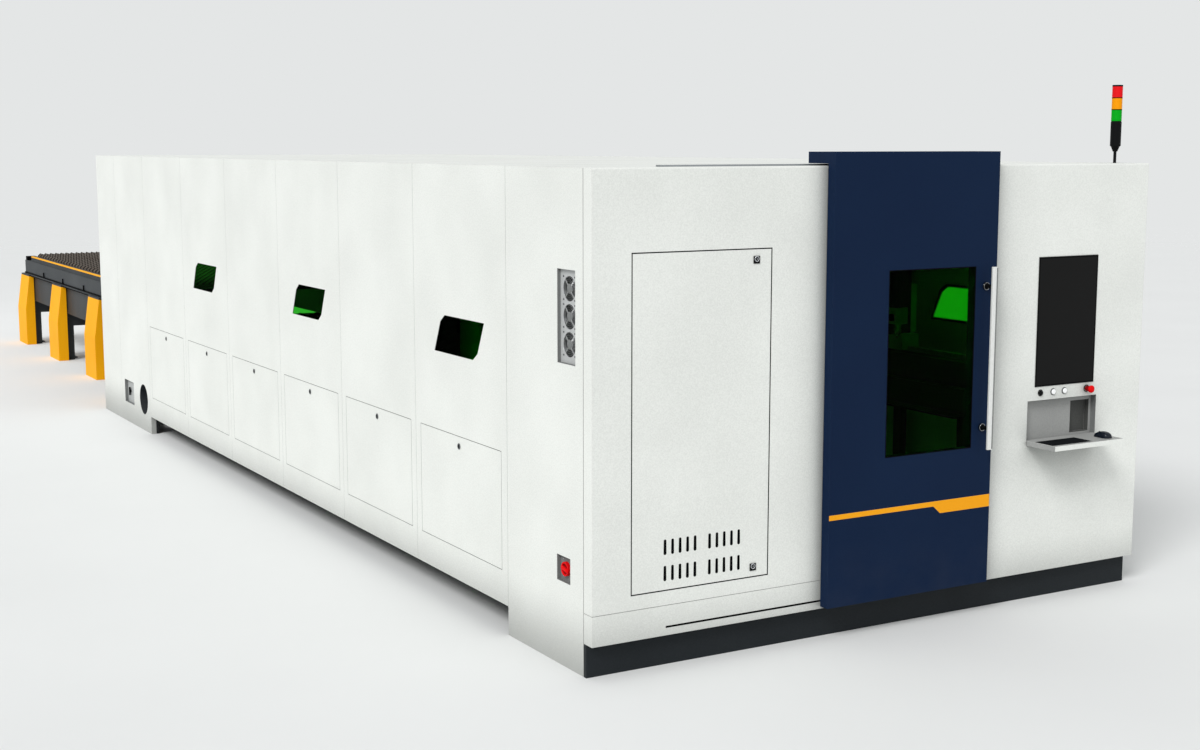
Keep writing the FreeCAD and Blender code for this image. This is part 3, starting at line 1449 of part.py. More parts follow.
def make_fans():
    """Grille plate with three openings, hub covers and spokes, and a rotor behind each."""
    plate = block(
        "fan_sheet",
        (left("recess_depth - skin"), left("recess_depth")),
        (FAN_Y[0] + " + fan_plate_gap", FAN_Y[1] + " - fan_plate_gap"),
        (FAN_Z[0] + " + fan_plate_gap", FAN_Z[1] + " - fan_plate_gap"),
    )
    holes = []
    guards = []
    shaft_start = left("recess_depth - skin")
    for index in range(FAN_COUNT):
        height = fan_height_at(index)
        tag = "fan_" + str(index + 1)
        centre = (shaft_start, FAN_MIDDLE, height)
        hole_at = (left("recess_depth - 2 * skin"), FAN_MIDDLE, height)
        holes.append(rod(tag + "_hole", "x", hole_at, "fan_opening", "3 * skin"))
        guards.append(rod(tag + "_cover", "x", centre, "fan_hub", "skin"))
        guards.append(rod(tag + "_shaft", "x", centre, "fan_shaft", "skin + fan_thick"))
        for angle in SPOKE_ANGLES:
            spoke = doc.addObject("Part::Box", tag + "_spoke_" + str(angle))
            tie(spoke, "Length", "skin")
            tie(spoke, "Width", "2 * (fan_opening + spoke_root)")
            tie(spoke, "Height", "skin")
            turn = Rotation(Vector(1, 0, 0), angle)
            spoke.Placement = Placement(Vector(), turn)
            half_across = "(fan_opening + spoke_root) * " + str(round(cos(angle * pi / 180), 9))
            half_up = "(fan_opening + spoke_root) * " + str(round(sin(angle * pi / 180), 9))
            half_bar_across = "skin / 2 * " + str(round(sin(angle * pi / 180), 9))
            half_bar_up = "skin / 2 * " + str(round(cos(angle * pi / 180), 9))
            tie(spoke, "Placement.Base.x", shaft_start)
            tie(spoke, "Placement.Base.y", FAN_MIDDLE + " - " + half_across + " + " + half_bar_across)
            tie(spoke, "Placement.Base.z", height + " - " + half_up + " - " + half_bar_up)
            guards.append(spoke)
        make_rotor(index)
    pierced = cut("fan_plate_pierced", plate, *holes)
    node("fan_plate", fuse("fan_plate_joined", pierced, *guards))


BLADE_COUNT = 5
BLADE_PITCH = 35  # degrees


def make_rotor(index):
    """One fan rotor: a hub bored for its shaft and five pitched blades."""
    tag = "fan_" + str(index + 1)
    height = fan_height_at(index)
    start = left("recess_depth + skin")
    hub = rod(tag + "_hub", "x", (start, FAN_MIDDLE, height), "fan_hub - hub_step", "fan_thick - skin")
    bore_at = (start + " - past", FAN_MIDDLE, height)
    bore = rod(tag + "_bore", "x", bore_at, "fan_shaft + running", "fan_thick + 2 * past")
    blades = []
    for count in range(BLADE_COUNT):
        blade = doc.addObject("Part::Box", tag + "_blade_" + str(count))
        tie(blade, "Length", "skin")
        tie(blade, "Width", "fan_thick")
        tie(blade, "Height", "fan_tip - fan_hub / 2")
        around = Rotation(Vector(1, 0, 0), 360 * count / BLADE_COUNT)
        pitched = around.multiply(Rotation(Vector(0, 0, 1), BLADE_PITCH))
        blade.Placement = Placement(Vector(), pitched)
        lift = around.multVec(Vector(0, 0, 1))
        across = pitched.multVec(Vector(0, 1, 0))
        reach = "fan_hub / 2"
        half = "fan_thick / 2"
        middle = (start + " + fan_thick / 2 - skin / 2", FAN_MIDDLE, height)
        for axis, formula in enumerate(middle):
            shift = " + " + reach + " * " + format(lift[axis], ".9f")
            back = " - " + half + " * " + format(across[axis], ".9f")
            shifted = (formula + shift + back).replace("* -", "* -1 * ")
            tie(blade, "Placement.Base." + "xyz"[axis], shifted)
        blades.append(blade)
    node("fan_rotor_" + str(index + 1), cut(tag + "_rotor", fuse(tag + "_wheel", hub, *blades), bore))


def make_main_switch():
    """Red rotary main switch: a round dial, a grip across it and a stem."""
    floor = left("recess_depth") + " - slide_gap"
    across, up = SWITCH_MIDDLE
    dial = rod("switch_dial", "x", (floor + " - dial_thick", across, up), "knob_radius", "dial_thick")
    stem = rod("switch_stem", "x", (floor + " - past", across, up), "lock_stem", "skin + switch_tail")
    grip = block(
        "switch_grip",
        (floor + " - knob_proud", floor + " - dial_thick"),
        (across + " - knob_radius / 4", across + " + knob_radius / 4"),
        (up + " - knob_radius", up + " + knob_radius"),
    )
    node("main_switch", fuse("main_switch_joined", dial, stem, grip))


def make_rear_isolator():
    """Small black turning handle in the rear recess."""
    floor = left("isolator_depth") + " - slide_gap"
    across, up = LEVER_MIDDLE
    hub = rod("isolator_hub", "x", (floor + " - lever_hub_thick", across, up), "lever_hub", "lever_hub_thick")
    stem = rod("isolator_stem", "x", (floor + " - past", across, up), "lock_stem", "skin + switch_tail")
    lever = block(
        "isolator_lever",
        (floor + " - lever_proud", floor + " - lever_hub_thick"),
        (across + " - lever_width / 2", across + " + lever_width / 2"),
        (up + " - lever_length / 2", up + " + lever_length / 2"),
    )
    node("rear_isolator", fuse("rear_isolator_joined", hub, stem, lever))


# ---------------------------------------------------------------------------
# Bed, gantry and cutting head
# ---------------------------------------------------------------------------

BEAM_TOP = "beam_bottom + beam_height"
RAIL_TOP = BEAM_TOP + " + rail_height"
BED_END = "side_length - beam_back"


def bed_leg_feet():
    """Front edges of the bed legs: one at each end of the beams, one at each panel seam."""
    feet = ["beam_start"]
    feet += [panel_edge(index) + " - leg_width / 2" for index in range(1, PANEL_COUNT + 1)]
    feet.append(BED_END + " - leg_width")
    return feet


def make_machine_bed():
    """Welded bed: a beam on legs along each side, and a cross member at each pair of legs."""
    pieces = []
    for side, formula in SIDES:
        beam_x = both_ends(formula, "beam_in", "beam_in + beam_width")
        pieces.append(block("bed_beam_" + side, beam_x, ("beam_start", BED_END), ("beam_bottom", BEAM_TOP)))
        for index, foot in enumerate(bed_leg_feet()):
            tag = "bed_leg_" + side + "_" + str(index)
            leg_x = both_ends(formula, *LEG_X)
            pieces.append(block(tag, leg_x, (foot, foot + " + leg_width"), ("0", "beam_bottom")))
    for index, foot in enumerate(bed_leg_feet()):
        pieces.append(block(
            "bed_cross_" + str(index),
            (left(LEG_X[1]), right(LEG_X[1])),
            (foot + " + cross_in", foot + " + leg_width - cross_in"),
            ("cross_low", "cross_low + cross_height"),
        ))
    node("machine_bed", group("machine_bed_group", *pieces))


def channel(name, side_formula, ends):
    """A C-shaped rail open towards the middle: the upper pallet runs on its top flange
    and the lower pallet inside it on the bottom flange."""
    outer = block(
        name + "_outside",
        both_ends(side_formula, "table_in", "table_in + channel_width"),
        ends,
        ("track_bottom", "track_bottom + channel_height"),
    )
    inner = block(
        name + "_inside",
        both_ends(side_formula, "table_in + channel_plate", "table_in + channel_width + past"),
        (ends[0] + " - past", ends[1] + " + past"),
        ("track_bottom + channel_plate", "track_bottom + channel_height - channel_plate"),
    )
    shorter_top = block(
        name + "_shorter_top",
        both_ends(side_formula, "table_in + top_flange", "table_in + channel_width + past"),
        (ends[0] + " - past", ends[1] + " + past"),
        ("track_bottom + channel_height - channel_plate - past", "track_bottom + channel_height + past"),
    )
    return cut(name, outer, inner, shorter_top)


def make_bed_tracks():
    """Pallet rails inside the machine, bolted to the inner faces of the bed beams."""
    ends = ("beam_start", "side_length")
    rails = [channel("bed_track_" + side, formula, ends) for side, formula in SIDES]
    node("bed_tracks", group("bed_track_pair", *rails))


def make_linear_rails():
    """Hardened rails on top of the bed beams, which carry the gantry."""
    rails = []
    for side, formula in SIDES:
        middle = "beam_in + beam_width / 2"
        rails.append(block(
            "linear_rail_" + side,
            both_ends(formula, middle + " - rail_width / 2", middle + " + rail_width / 2"),
            ("beam_start + rail_end", BED_END + " - rail_end"),
            (BEAM_TOP, RAIL_TOP),
        ))
    node("linear_rails", group("linear_rail_pair", *rails))


BEAM_Y = ("gantry_start", "gantry_start + gantry_depth")
GANTRY_BOTTOM = "(" + RAIL_TOP + " + truck_plate)"
BEAM_Z = (GANTRY_BOTTOM, GANTRY_BOTTOM + " + gantry_height")
GUIDE_FRONT = "gantry_start - guide_size"
GUIDE_FEET = (BEAM_Z[0] + " + guide_inset", BEAM_Z[1] + " - guide_inset - guide_size")


def make_gantry():
    """Gantry beam with an end truck over each linear rail and two guides on its front."""
    beam = block("gantry_box", (left("beam_in"), right("beam_in")), BEAM_Y, BEAM_Z)
    pieces = [beam]
    truck_middle = "gantry_start + gantry_depth / 2"
    half_groove = "(rail_width / 2 + slide_gap)"
    for side, formula in SIDES:
        middle = "beam_in + beam_width / 2"
        truck = block(
            "truck_" + side,
            both_ends(formula, middle + " - truck_width / 2", middle + " + truck_width / 2"),
            (truck_middle + " - truck_length / 2", truck_middle + " + truck_length / 2"),
            (BEAM_TOP + " + truck_gap", GANTRY_BOTTOM),
        )
        groove = block(
            "truck_groove_" + side,
            both_ends(formula, middle + " - " + half_groove, middle + " + " + half_groove),
            (truck_middle + " - truck_length", truck_middle + " + truck_length"),
            (BEAM_TOP, RAIL_TOP + " + slide_gap"),
        )
        pieces.append(cut("truck_cut_" + side, truck, groove))
    for index, foot in enumerate(GUIDE_FEET):
        pieces.append(block(
            "gantry_guide_" + str(index),
            (left("beam_in + guide_end"), right("beam_in + guide_end")),
            (GUIDE_FRONT, "gantry_start"),
            (foot, foot + " + guide_size"),
        ))
    node("gantry_beam", fuse("gantry_joined", *pieces))


CARRIAGE_X = (right("carriage_in + carriage_width / 2"), right("carriage_in - carriage_width / 2"))
CARRIAGE_FRONT = GUIDE_FRONT + " - carriage_depth"


def make_cutting_carriage():
    """Carriage plate that runs across the gantry, with grooves over both guides."""
    plate = block(
        "carriage_plate",
        CARRIAGE_X,
        (CARRIAGE_FRONT, "gantry_start - slide_gap"),
        (BEAM_Z[0] + " + carriage_foot", BEAM_Z[1] + " + carriage_over"),
    )
    grooves = []
    for index, foot in enumerate(GUIDE_FEET):
        grooves.append(block(
            "carriage_groove_" + str(index),
            (CARRIAGE_X[0] + " - past", CARRIAGE_X[1] + " + past"),
            (GUIDE_FRONT + " - slide_gap", "gantry_start"),
            (foot + " - slide_gap", foot + " + guide_size + slide_gap"),
        ))
    node("cutting_carriage", cut("carriage_cut", plate, *grooves))


def make_cutting_head():
    """Cutting head: slide housing, collimator tube, focusing cone and nozzle."""
    housing = block(
        "head_housing",
        (right("carriage_in + head_width / 2"), right("carriage_in - head_width / 2")),
        (CARRIAGE_FRONT + " - slide_gap - head_depth", CARRIAGE_FRONT + " - slide_gap"),
        (GANTRY_BOTTOM + " + head_up", GANTRY_BOTTOM + " + head_up + head_height"),
    )
    body = new_body("head_nose")
    body.Tip = revolve(body, [
        ("0", "0"),
        ("nozzle_radius / 4", "0"),
        ("nozzle_radius / 2", "nozzle_length"),
        ("nozzle_radius / 2", "nozzle_neck"),
        ("nozzle_radius", "cone_top"),
        ("nozzle_radius", "head_up + nozzle_down + past"),
        ("0", "head_up + nozzle_down + past"),
    ])
    nose_y = CARRIAGE_FRONT + " - slide_gap - head_depth / 2"
    place(body, (right("carriage_in"), nose_y, GANTRY_BOTTOM + " - nozzle_down"))
    node("cutting_head", fuse("head_joined", housing, body))


# ---------------------------------------------------------------------------
# Exchange table and pallets
# ---------------------------------------------------------------------------

def foot_at(index):
    """Formula for the front edge of one table leg."""
    return "(side_length + foot_start + " + str(index) + " * foot_pitch)"


def make_table_rails():
    """Two C-shaped rails along the exchange table, each with a narrow lip along its foot."""
    ends = ("side_length + slide_gap", "side_length + table_length")
    rails = []
    for side, formula in SIDES:
        tag = "table_rail_" + side
        lip = block(
            tag + "_lip",
            both_ends(formula, "table_in - channel_lip", "table_in + channel_plate"),
            ends,
            ("track_bottom", "track_bottom + channel_plate"),
        )
        rails.append(fuse(tag, channel(tag + "_channel", formula, ends), lip))
    node("table_rails", group("table_rail_pair", *rails))


def make_table_legs():
    """Orange leg casings: upright to the bend, then drawn in to the rail."""
    legs = []
    for side, formula in SIDES:
        for index in range(int(number("foot_count"))):
            body = new_body("table_leg_" + side + "_" + str(index))
            sketch = new_sketch(body, "XZ_Plane", "-" + foot_at(index))
            outline(sketch, [
                (formula("foot_in"), "0"),
                (formula("foot_in + foot_width"), "0"),
                (formula("foot_in + foot_width"), "track_bottom - cap_height"),
                (formula("foot_top_in"), "track_bottom - cap_height"),
                (formula("foot_in"), "foot_bend"),
            ])
            body.Tip = pad(body, sketch, "foot_length", True)
            legs.append(body)
    node("table_legs", group("table_leg_group", *legs))


def make_table_frame():
    """Inner posts, leg caps, cross beams and side plates of the exchange table."""
    pieces = []
    for index in range(int(number("foot_count"))):
        post_y = (foot_at(index) + " + post_along", foot_at(index) + " + post_along + inner_post")
        for side, formula in SIDES:
            pieces.append(block(
                "table_post_" + side + "_" + str(index),
                both_ends(formula, "foot_in + foot_width", "foot_in + foot_width + inner_post"),
                post_y,
                ("0", "track_bottom"),
            ))
            pieces.append(block(
                "table_cap_" + side + "_" + str(index),
                both_ends(formula, "foot_top_in", "foot_in + foot_width"),
                (foot_at(index) + " + cap_end", foot_at(index) + " + foot_length - cap_end"),
                ("track_bottom - cap_height", "track_bottom"),
            ))
        pieces.append(block(
            "table_cross_" + str(index),
            (left("foot_in + foot_width + inner_post"), right("foot_in + foot_width + inner_post")),
            post_y,
            ("crossbeam_low", "crossbeam_low + crossbeam"),
        ))
    for index in range(int(number("foot_count")) - 1):
        for side, formula in SIDES:
            inner = "foot_in + foot_width + side_plate_in"
            plate_y = (foot_at(index) + " + post_along + inner_post", foot_at(index + 1) + " + post_along")
            pieces.append(block(
                "table_plate_" + side + "_" + str(index),
                both_ends(formula, inner, inner + " + side_plate"),
                plate_y,
                ("side_plate_low", "track_bottom"),
            ))
    node("table_frame", group("table_frame_group", *pieces))


TRACK_UPPER = "(track_bottom + channel_height + slide_gap)"
TRACK_LOWER = "(track_bottom + channel_plate + slide_gap)"
UPPER_START = "(side_length + pallet_start)"
LOWER_START = "(side_length + pallet_start - pallet_travel)"
UPPER_IN = "(table_in + pallet_in)"
LOWER_IN = "(table_in + channel_plate + lower_pallet_gap)"


def pallet_frame(name, inset, start, foot):
    """Rectangular pallet frame with one long member under the middle of the slats."""
    x = (left(inset), right(inset))
    y = (start, start + " + pallet_length")
    z = (foot, foot + " + pallet_height")
    whole = block(name + "_whole", x, y, z)
    rooms = []
    halves = (
        ("left", x[0] + " + pallet_member", "-pallet_member / 2"),
        ("right", "pallet_member / 2", x[1] + " - pallet_member"),
    )
    for side, low, high in halves:
        rooms.append(block(
            name + "_room_" + side,
            (low, high),
            (y[0] + " + pallet_member", y[1] + " - pallet_member"),
            (z[0] + " - past", z[1] + " + past"),
        ))
    return cut(name, whole, *rooms)


def serrated_slat(name, inset, foot, notch):
    """One upright slat with saw teeth along its upper edge, notched over the middle member."""
    body = new_body(name)
    sketch = new_sketch(body, "XZ_Plane", "0")
    teeth = int(number("tooth_count"))
    pitch = "((width - 2 * (" + inset + ")) / tooth_count)"
    valley = foot + " + slat_rise - tooth_depth"
    corners = [
        (left(inset), foot),
        ("-pallet_member / 2 - notch_gap", foot),
        ("-pallet_member / 2 - notch_gap", notch),
        ("pallet_member / 2 + notch_gap", notch),
        ("pallet_member / 2 + notch_gap", foot),
        (right(inset), foot),
        (right(inset), valley),
    ]
    for index in range(teeth):
        tip = right(inset) + " - " + str(index + 0.5) + " * " + pitch
        root = right(inset) + " - " + str(index + 1) + " * " + pitch
        corners.append((tip, foot + " + slat_rise"))
        corners.append((root, valley))
    outline(sketch, corners)
    body.Tip = pad(body, sketch, "slat_thick", True)
    doc.recompute()
    return body


def slat_row(name, slat, start):
    """Copies of one slat at even steps along a pallet, from end member to end member."""
    count = int(number("slat_count"))
    member = number("pallet_member")
    span = number("pallet_length") - 2 * member - 2 * number("slat_end") - number("slat_thick")
    copies = []
    for index in range(count):
        copy = slat.Shape.copy()
        copy.translate(Vector(0, start + member + number("slat_end") + index * span / (count - 1), 0))
        copies.append(copy)
    row = doc.addObject("Part::Feature", name)
    row.Shape = Part.makeCompound(copies)
    return row


def make_upper_pallet():
    """Pallet on the exchange table: frame, orange edge bars and serrated slats."""
    node("upper_pallet", pallet_frame("upper_frame", UPPER_IN, UPPER_START, TRACK_UPPER))
    bars = []
    for side, formula in SIDES:
        bars.append(block(
            "edge_bar_" + side,
            both_ends(formula, UPPER_IN, UPPER_IN + " + pallet_member"),
            (UPPER_START, UPPER_START + " + pallet_length"),
            (TRACK_UPPER + " + pallet_height", TRACK_UPPER + " + pallet_height + edge_height"),
        ))
    node("pallet_edge_bars", group("edge_bar_pair", *bars))
    frame_top = TRACK_UPPER + " + pallet_height"
    foot = frame_top + " + edge_height + slat_over - slat_rise"
    slat = serrated_slat("upper_slat", UPPER_IN + " + pallet_member", foot, frame_top)
    node("upper_slats", slat_row("upper_slat_row", slat, number("side_length") + number("pallet_start")))


def make_lower_pallet():
    """Pallet inside the machine, one level lower: frame and slats."""
    frame = pallet_frame("lower_frame", LOWER_IN, LOWER_START, TRACK_LOWER)
    foot = TRACK_LOWER + " + lower_slat_up"
    slat = serrated_slat("lower_slat", LOWER_IN + " + pallet_member", foot, TRACK_LOWER + " + pallet_height")
    start = number("side_length") + number("pallet_start") - number("pallet_travel")
    node("lower_pallet", group("lower_pallet_group", frame, slat_row("lower_slat_row", slat, start)))


# ---------------------------------------------------------------------------
# Build, check and export
# ---------------------------------------------------------------------------

make_plinth()
make_front_left_panel()
make_front_lower_panel()
make_doorway_frame()
make_front_right_panel()
make_cabinet_door()
make_cabinet_locks()
make_cabinet_walls()
make_switchgear()
make_sliding_door()
make_door_window()
make_door_handle()
make_door_track()
make_door_hangers()
make_monitor()
make_buttons()
make_keyboard_tray()
make_keyboard()
make_mouse()
make_tower_light()
make_left_side_panels()
make_flaps()
make_left_front_panel()
make_left_rear_panels()
make_right_side_panels()
make_side_windows()
make_roof()
make_rear_wall()
make_side_frames()
make_fans()
make_main_switch()
make_rear_isolator()
make_machine_bed()
make_bed_tracks()
make_linear_rails()
make_gantry()
make_cutting_carriage()
make_cutting_head()
make_table_rails()
make_table_legs()
make_table_frame()
make_upper_pallet()
make_lower_pallet()
doc.recompute()

for item in doc.Objects:
    if "Invalid" in item.State or "Error" in item.State:
        raise RuntimeError(item.Name + " failed: " + ", ".join(item.State))
for item in nodes:
    if item.Shape.isNull() or not item.Shape.isValid():
        raise RuntimeError(item.Label + " has no valid shape")
for item in nodes:
    item.Shape.exportStep("parts/" + item.Label + ".step")
print(len(nodes), "nodes written")
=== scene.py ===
"""Dresses the fiber laser cutting machine: studio, finishes and fine pieces.

Pieces are drawn in millimetres in the machine's own frame: Z up, the operator stands at -Y, the
exchange table lies at +Y, and the floor is at Z = 0. The studio and the finishes are in metres.
"""
import logging
import math
from collections.abc import Iterable, Sequence
from dataclasses import dataclass
from enum import Enum
from itertools import product

import bmesh
import bpy
from mathutils import Matrix, Vector


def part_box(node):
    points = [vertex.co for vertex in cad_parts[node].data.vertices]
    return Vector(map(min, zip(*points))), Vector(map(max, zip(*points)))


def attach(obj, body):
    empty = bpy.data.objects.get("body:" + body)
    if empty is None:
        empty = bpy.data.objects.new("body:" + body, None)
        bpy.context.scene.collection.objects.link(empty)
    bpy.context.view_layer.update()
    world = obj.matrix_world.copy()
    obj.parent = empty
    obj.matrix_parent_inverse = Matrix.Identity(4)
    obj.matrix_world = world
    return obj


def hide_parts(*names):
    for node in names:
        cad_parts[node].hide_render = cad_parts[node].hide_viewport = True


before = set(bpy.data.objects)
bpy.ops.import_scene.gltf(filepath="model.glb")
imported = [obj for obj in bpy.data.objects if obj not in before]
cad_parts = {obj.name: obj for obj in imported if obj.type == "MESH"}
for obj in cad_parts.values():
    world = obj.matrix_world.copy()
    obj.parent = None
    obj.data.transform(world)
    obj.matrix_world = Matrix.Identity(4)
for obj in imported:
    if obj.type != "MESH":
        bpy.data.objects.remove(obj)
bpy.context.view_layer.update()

log = logging.getLogger("laser_cutting_machine")

Point = Sequence[float]
Colour = tuple[float, float, float, float]
Profile = Sequence[tuple[float, float]]
Verts = list[bmesh.types.BMVert]
Sockets = dict[str, bpy.types.NodeSocket]
MM = 0.001
SHARP = 0.3


def srgb(code: str, times: float = 1.0, plus: float = 0.0) -> Colour:
    """Turns a hex colour as seen on a screen into the linear values a shader takes.

    Args:
        code: six hex digits, such as "E6E8E3".
        times: factor on the linear values.
        plus: what is added to them.

    Returns:
        Red, green, blue and an alpha of 1.
    """
    channels = [int(code[i:i + 2], 16) / 255 for i in (0, 2, 4)]
    linear = [c / 12.92 if c <= 0.04045 else ((c + 0.055) / 1.055) ** 2.4 for c in channels]
    red, green, blue = (min(c * times + plus, 1.0) for c in linear)
    return (red, green, blue, 1.0)


class Side(Enum):
    """Directions in the machine's frame, as the operator sees them."""

    LEFT = (-1, 0, 0)
    RIGHT = (1, 0, 0)
    FRONT = (0, -1, 0)
    BACK = (0, 1, 0)
    UP = (0, 0, 1)

    @property
    def unit(self) -> Vector:
        """Unit vector in this direction."""
        return Vector(self.value)

    @property
    def axis(self) -> int:
        """Index of the axis that it lies along."""
        return [abs(part) for part in self.value].index(1)


# ---------------------------------------------------------------------------
# Node trees
# ---------------------------------------------------------------------------

class Graph:
    """Adds nodes to one node tree and joins them."""

    def __init__(self, tree: bpy.types.NodeTree) -> None:
        """Keeps the tree that nodes are added to."""
        self.tree = tree

    def node(self, kind: str, *values: object, **settings: object) -> bpy.types.Node:
        """Adds a node.

        Args:
            kind: the node's type name.
            values: sockets or constants for its first inputs.
            settings: properties of the node, such as operation.

        Returns:
            The new node.
        """
        made = self.tree.nodes.new(kind)
        for name, value in settings.items():
            setattr(made, name, value)
        for socket, value in zip(made.inputs, values):
            self.feed(socket, value)
        return made

    def feed(self, socket: bpy.types.NodeSocket, value: object) -> None:
        """Links a socket to another one, or sets its constant.

        Args:
            socket: the input to fill.
            value: an output socket or a constant.
        """
        if isinstance(value, bpy.types.NodeSocket):
            self.tree.links.new(value, socket)
        else:
            socket.default_value = value

    def fill(self, node: bpy.types.Node, **values: object) -> bpy.types.Node:
        """Feeds a node's inputs by name.

        Args:
            node: the node.
            values: sockets or constants, named with _ for a space.

        Returns:
            The same node.
        """
        for name, value in values.items():
            self.feed(node.inputs[name.replace("_", " ")], value)
        return node

    def math(self, operation: str, *values: object) -> bpy.types.NodeSocket:
        """Joins one to three values by a mathematical operation."""
        return self.node("ShaderNodeMath", *values, operation=operation).outputs[0]

    def spread(self, value: object, *limits: object) -> bpy.types.NodeSocket:
        """Maps a value, clamped, by four limits: from low and high, to low and high."""
        return self.node("ShaderNodeMapRange", value, *limits, clamp=True).outputs[0]

    def mix(self, factor: object, first: object, second: object) -> bpy.types.NodeSocket:
        """Mixes two colours.

        Args:
            factor: share of the second colour.
            first: the first colour.
            second: the second colour.

        Returns:
            The mixed colour.
        """
        made = self.node("ShaderNodeMix", factor, data_type="RGBA")
        self.feed(made.inputs[6], first)
        self.feed(made.inputs[7], second)
        return made.outputs[2]

    def place(self) -> bpy.types.NodeSocket:
        """Object coordinates."""
        return self.node("ShaderNodeTexCoord").outputs["Object"]

    def noise(self, scale: object, detail: float, coordinates: object = None) -> bpy.types.NodeSocket:
        """Noise over a place.

        Args:
            scale: how fine it is.
            detail: how many finer layers it has.
            coordinates: the place; Object coordinates when left out.

        Returns:
            Its value.
        """
        made = self.node("ShaderNodeTexNoise")
        self.fill(made, Scale=scale, Detail=detail, Vector=coordinates or self.place())
        return made.outputs["Fac"]

    def group(self, kind: "Effect", **values: object) -> Sockets:
        """Places a shared effect and fills in its named inputs; gives its outputs."""
        return self.fill(self.node("ShaderNodeGroup", node_tree=kind.tree()), **values).outputs

    def bump(
        self, shader: bpy.types.Node, height: object, edge: Sockets, strength: float, distance: float,
    ) -> None:
        """Gives a shader bumps over softened edges.

        Args:
            shader: the shader node.
            height: what drives the bumps.
            edge: outputs of the rounded edge group.
            strength: share of the bumps.
            distance: their height in metres.
        """
        made = self.node("ShaderNodeBump")
        self.fill(made, Strength=strength, Distance=distance, Height=height, Normal=edge["Normal"])
        self.fill(shader, Normal=made.outputs[0])


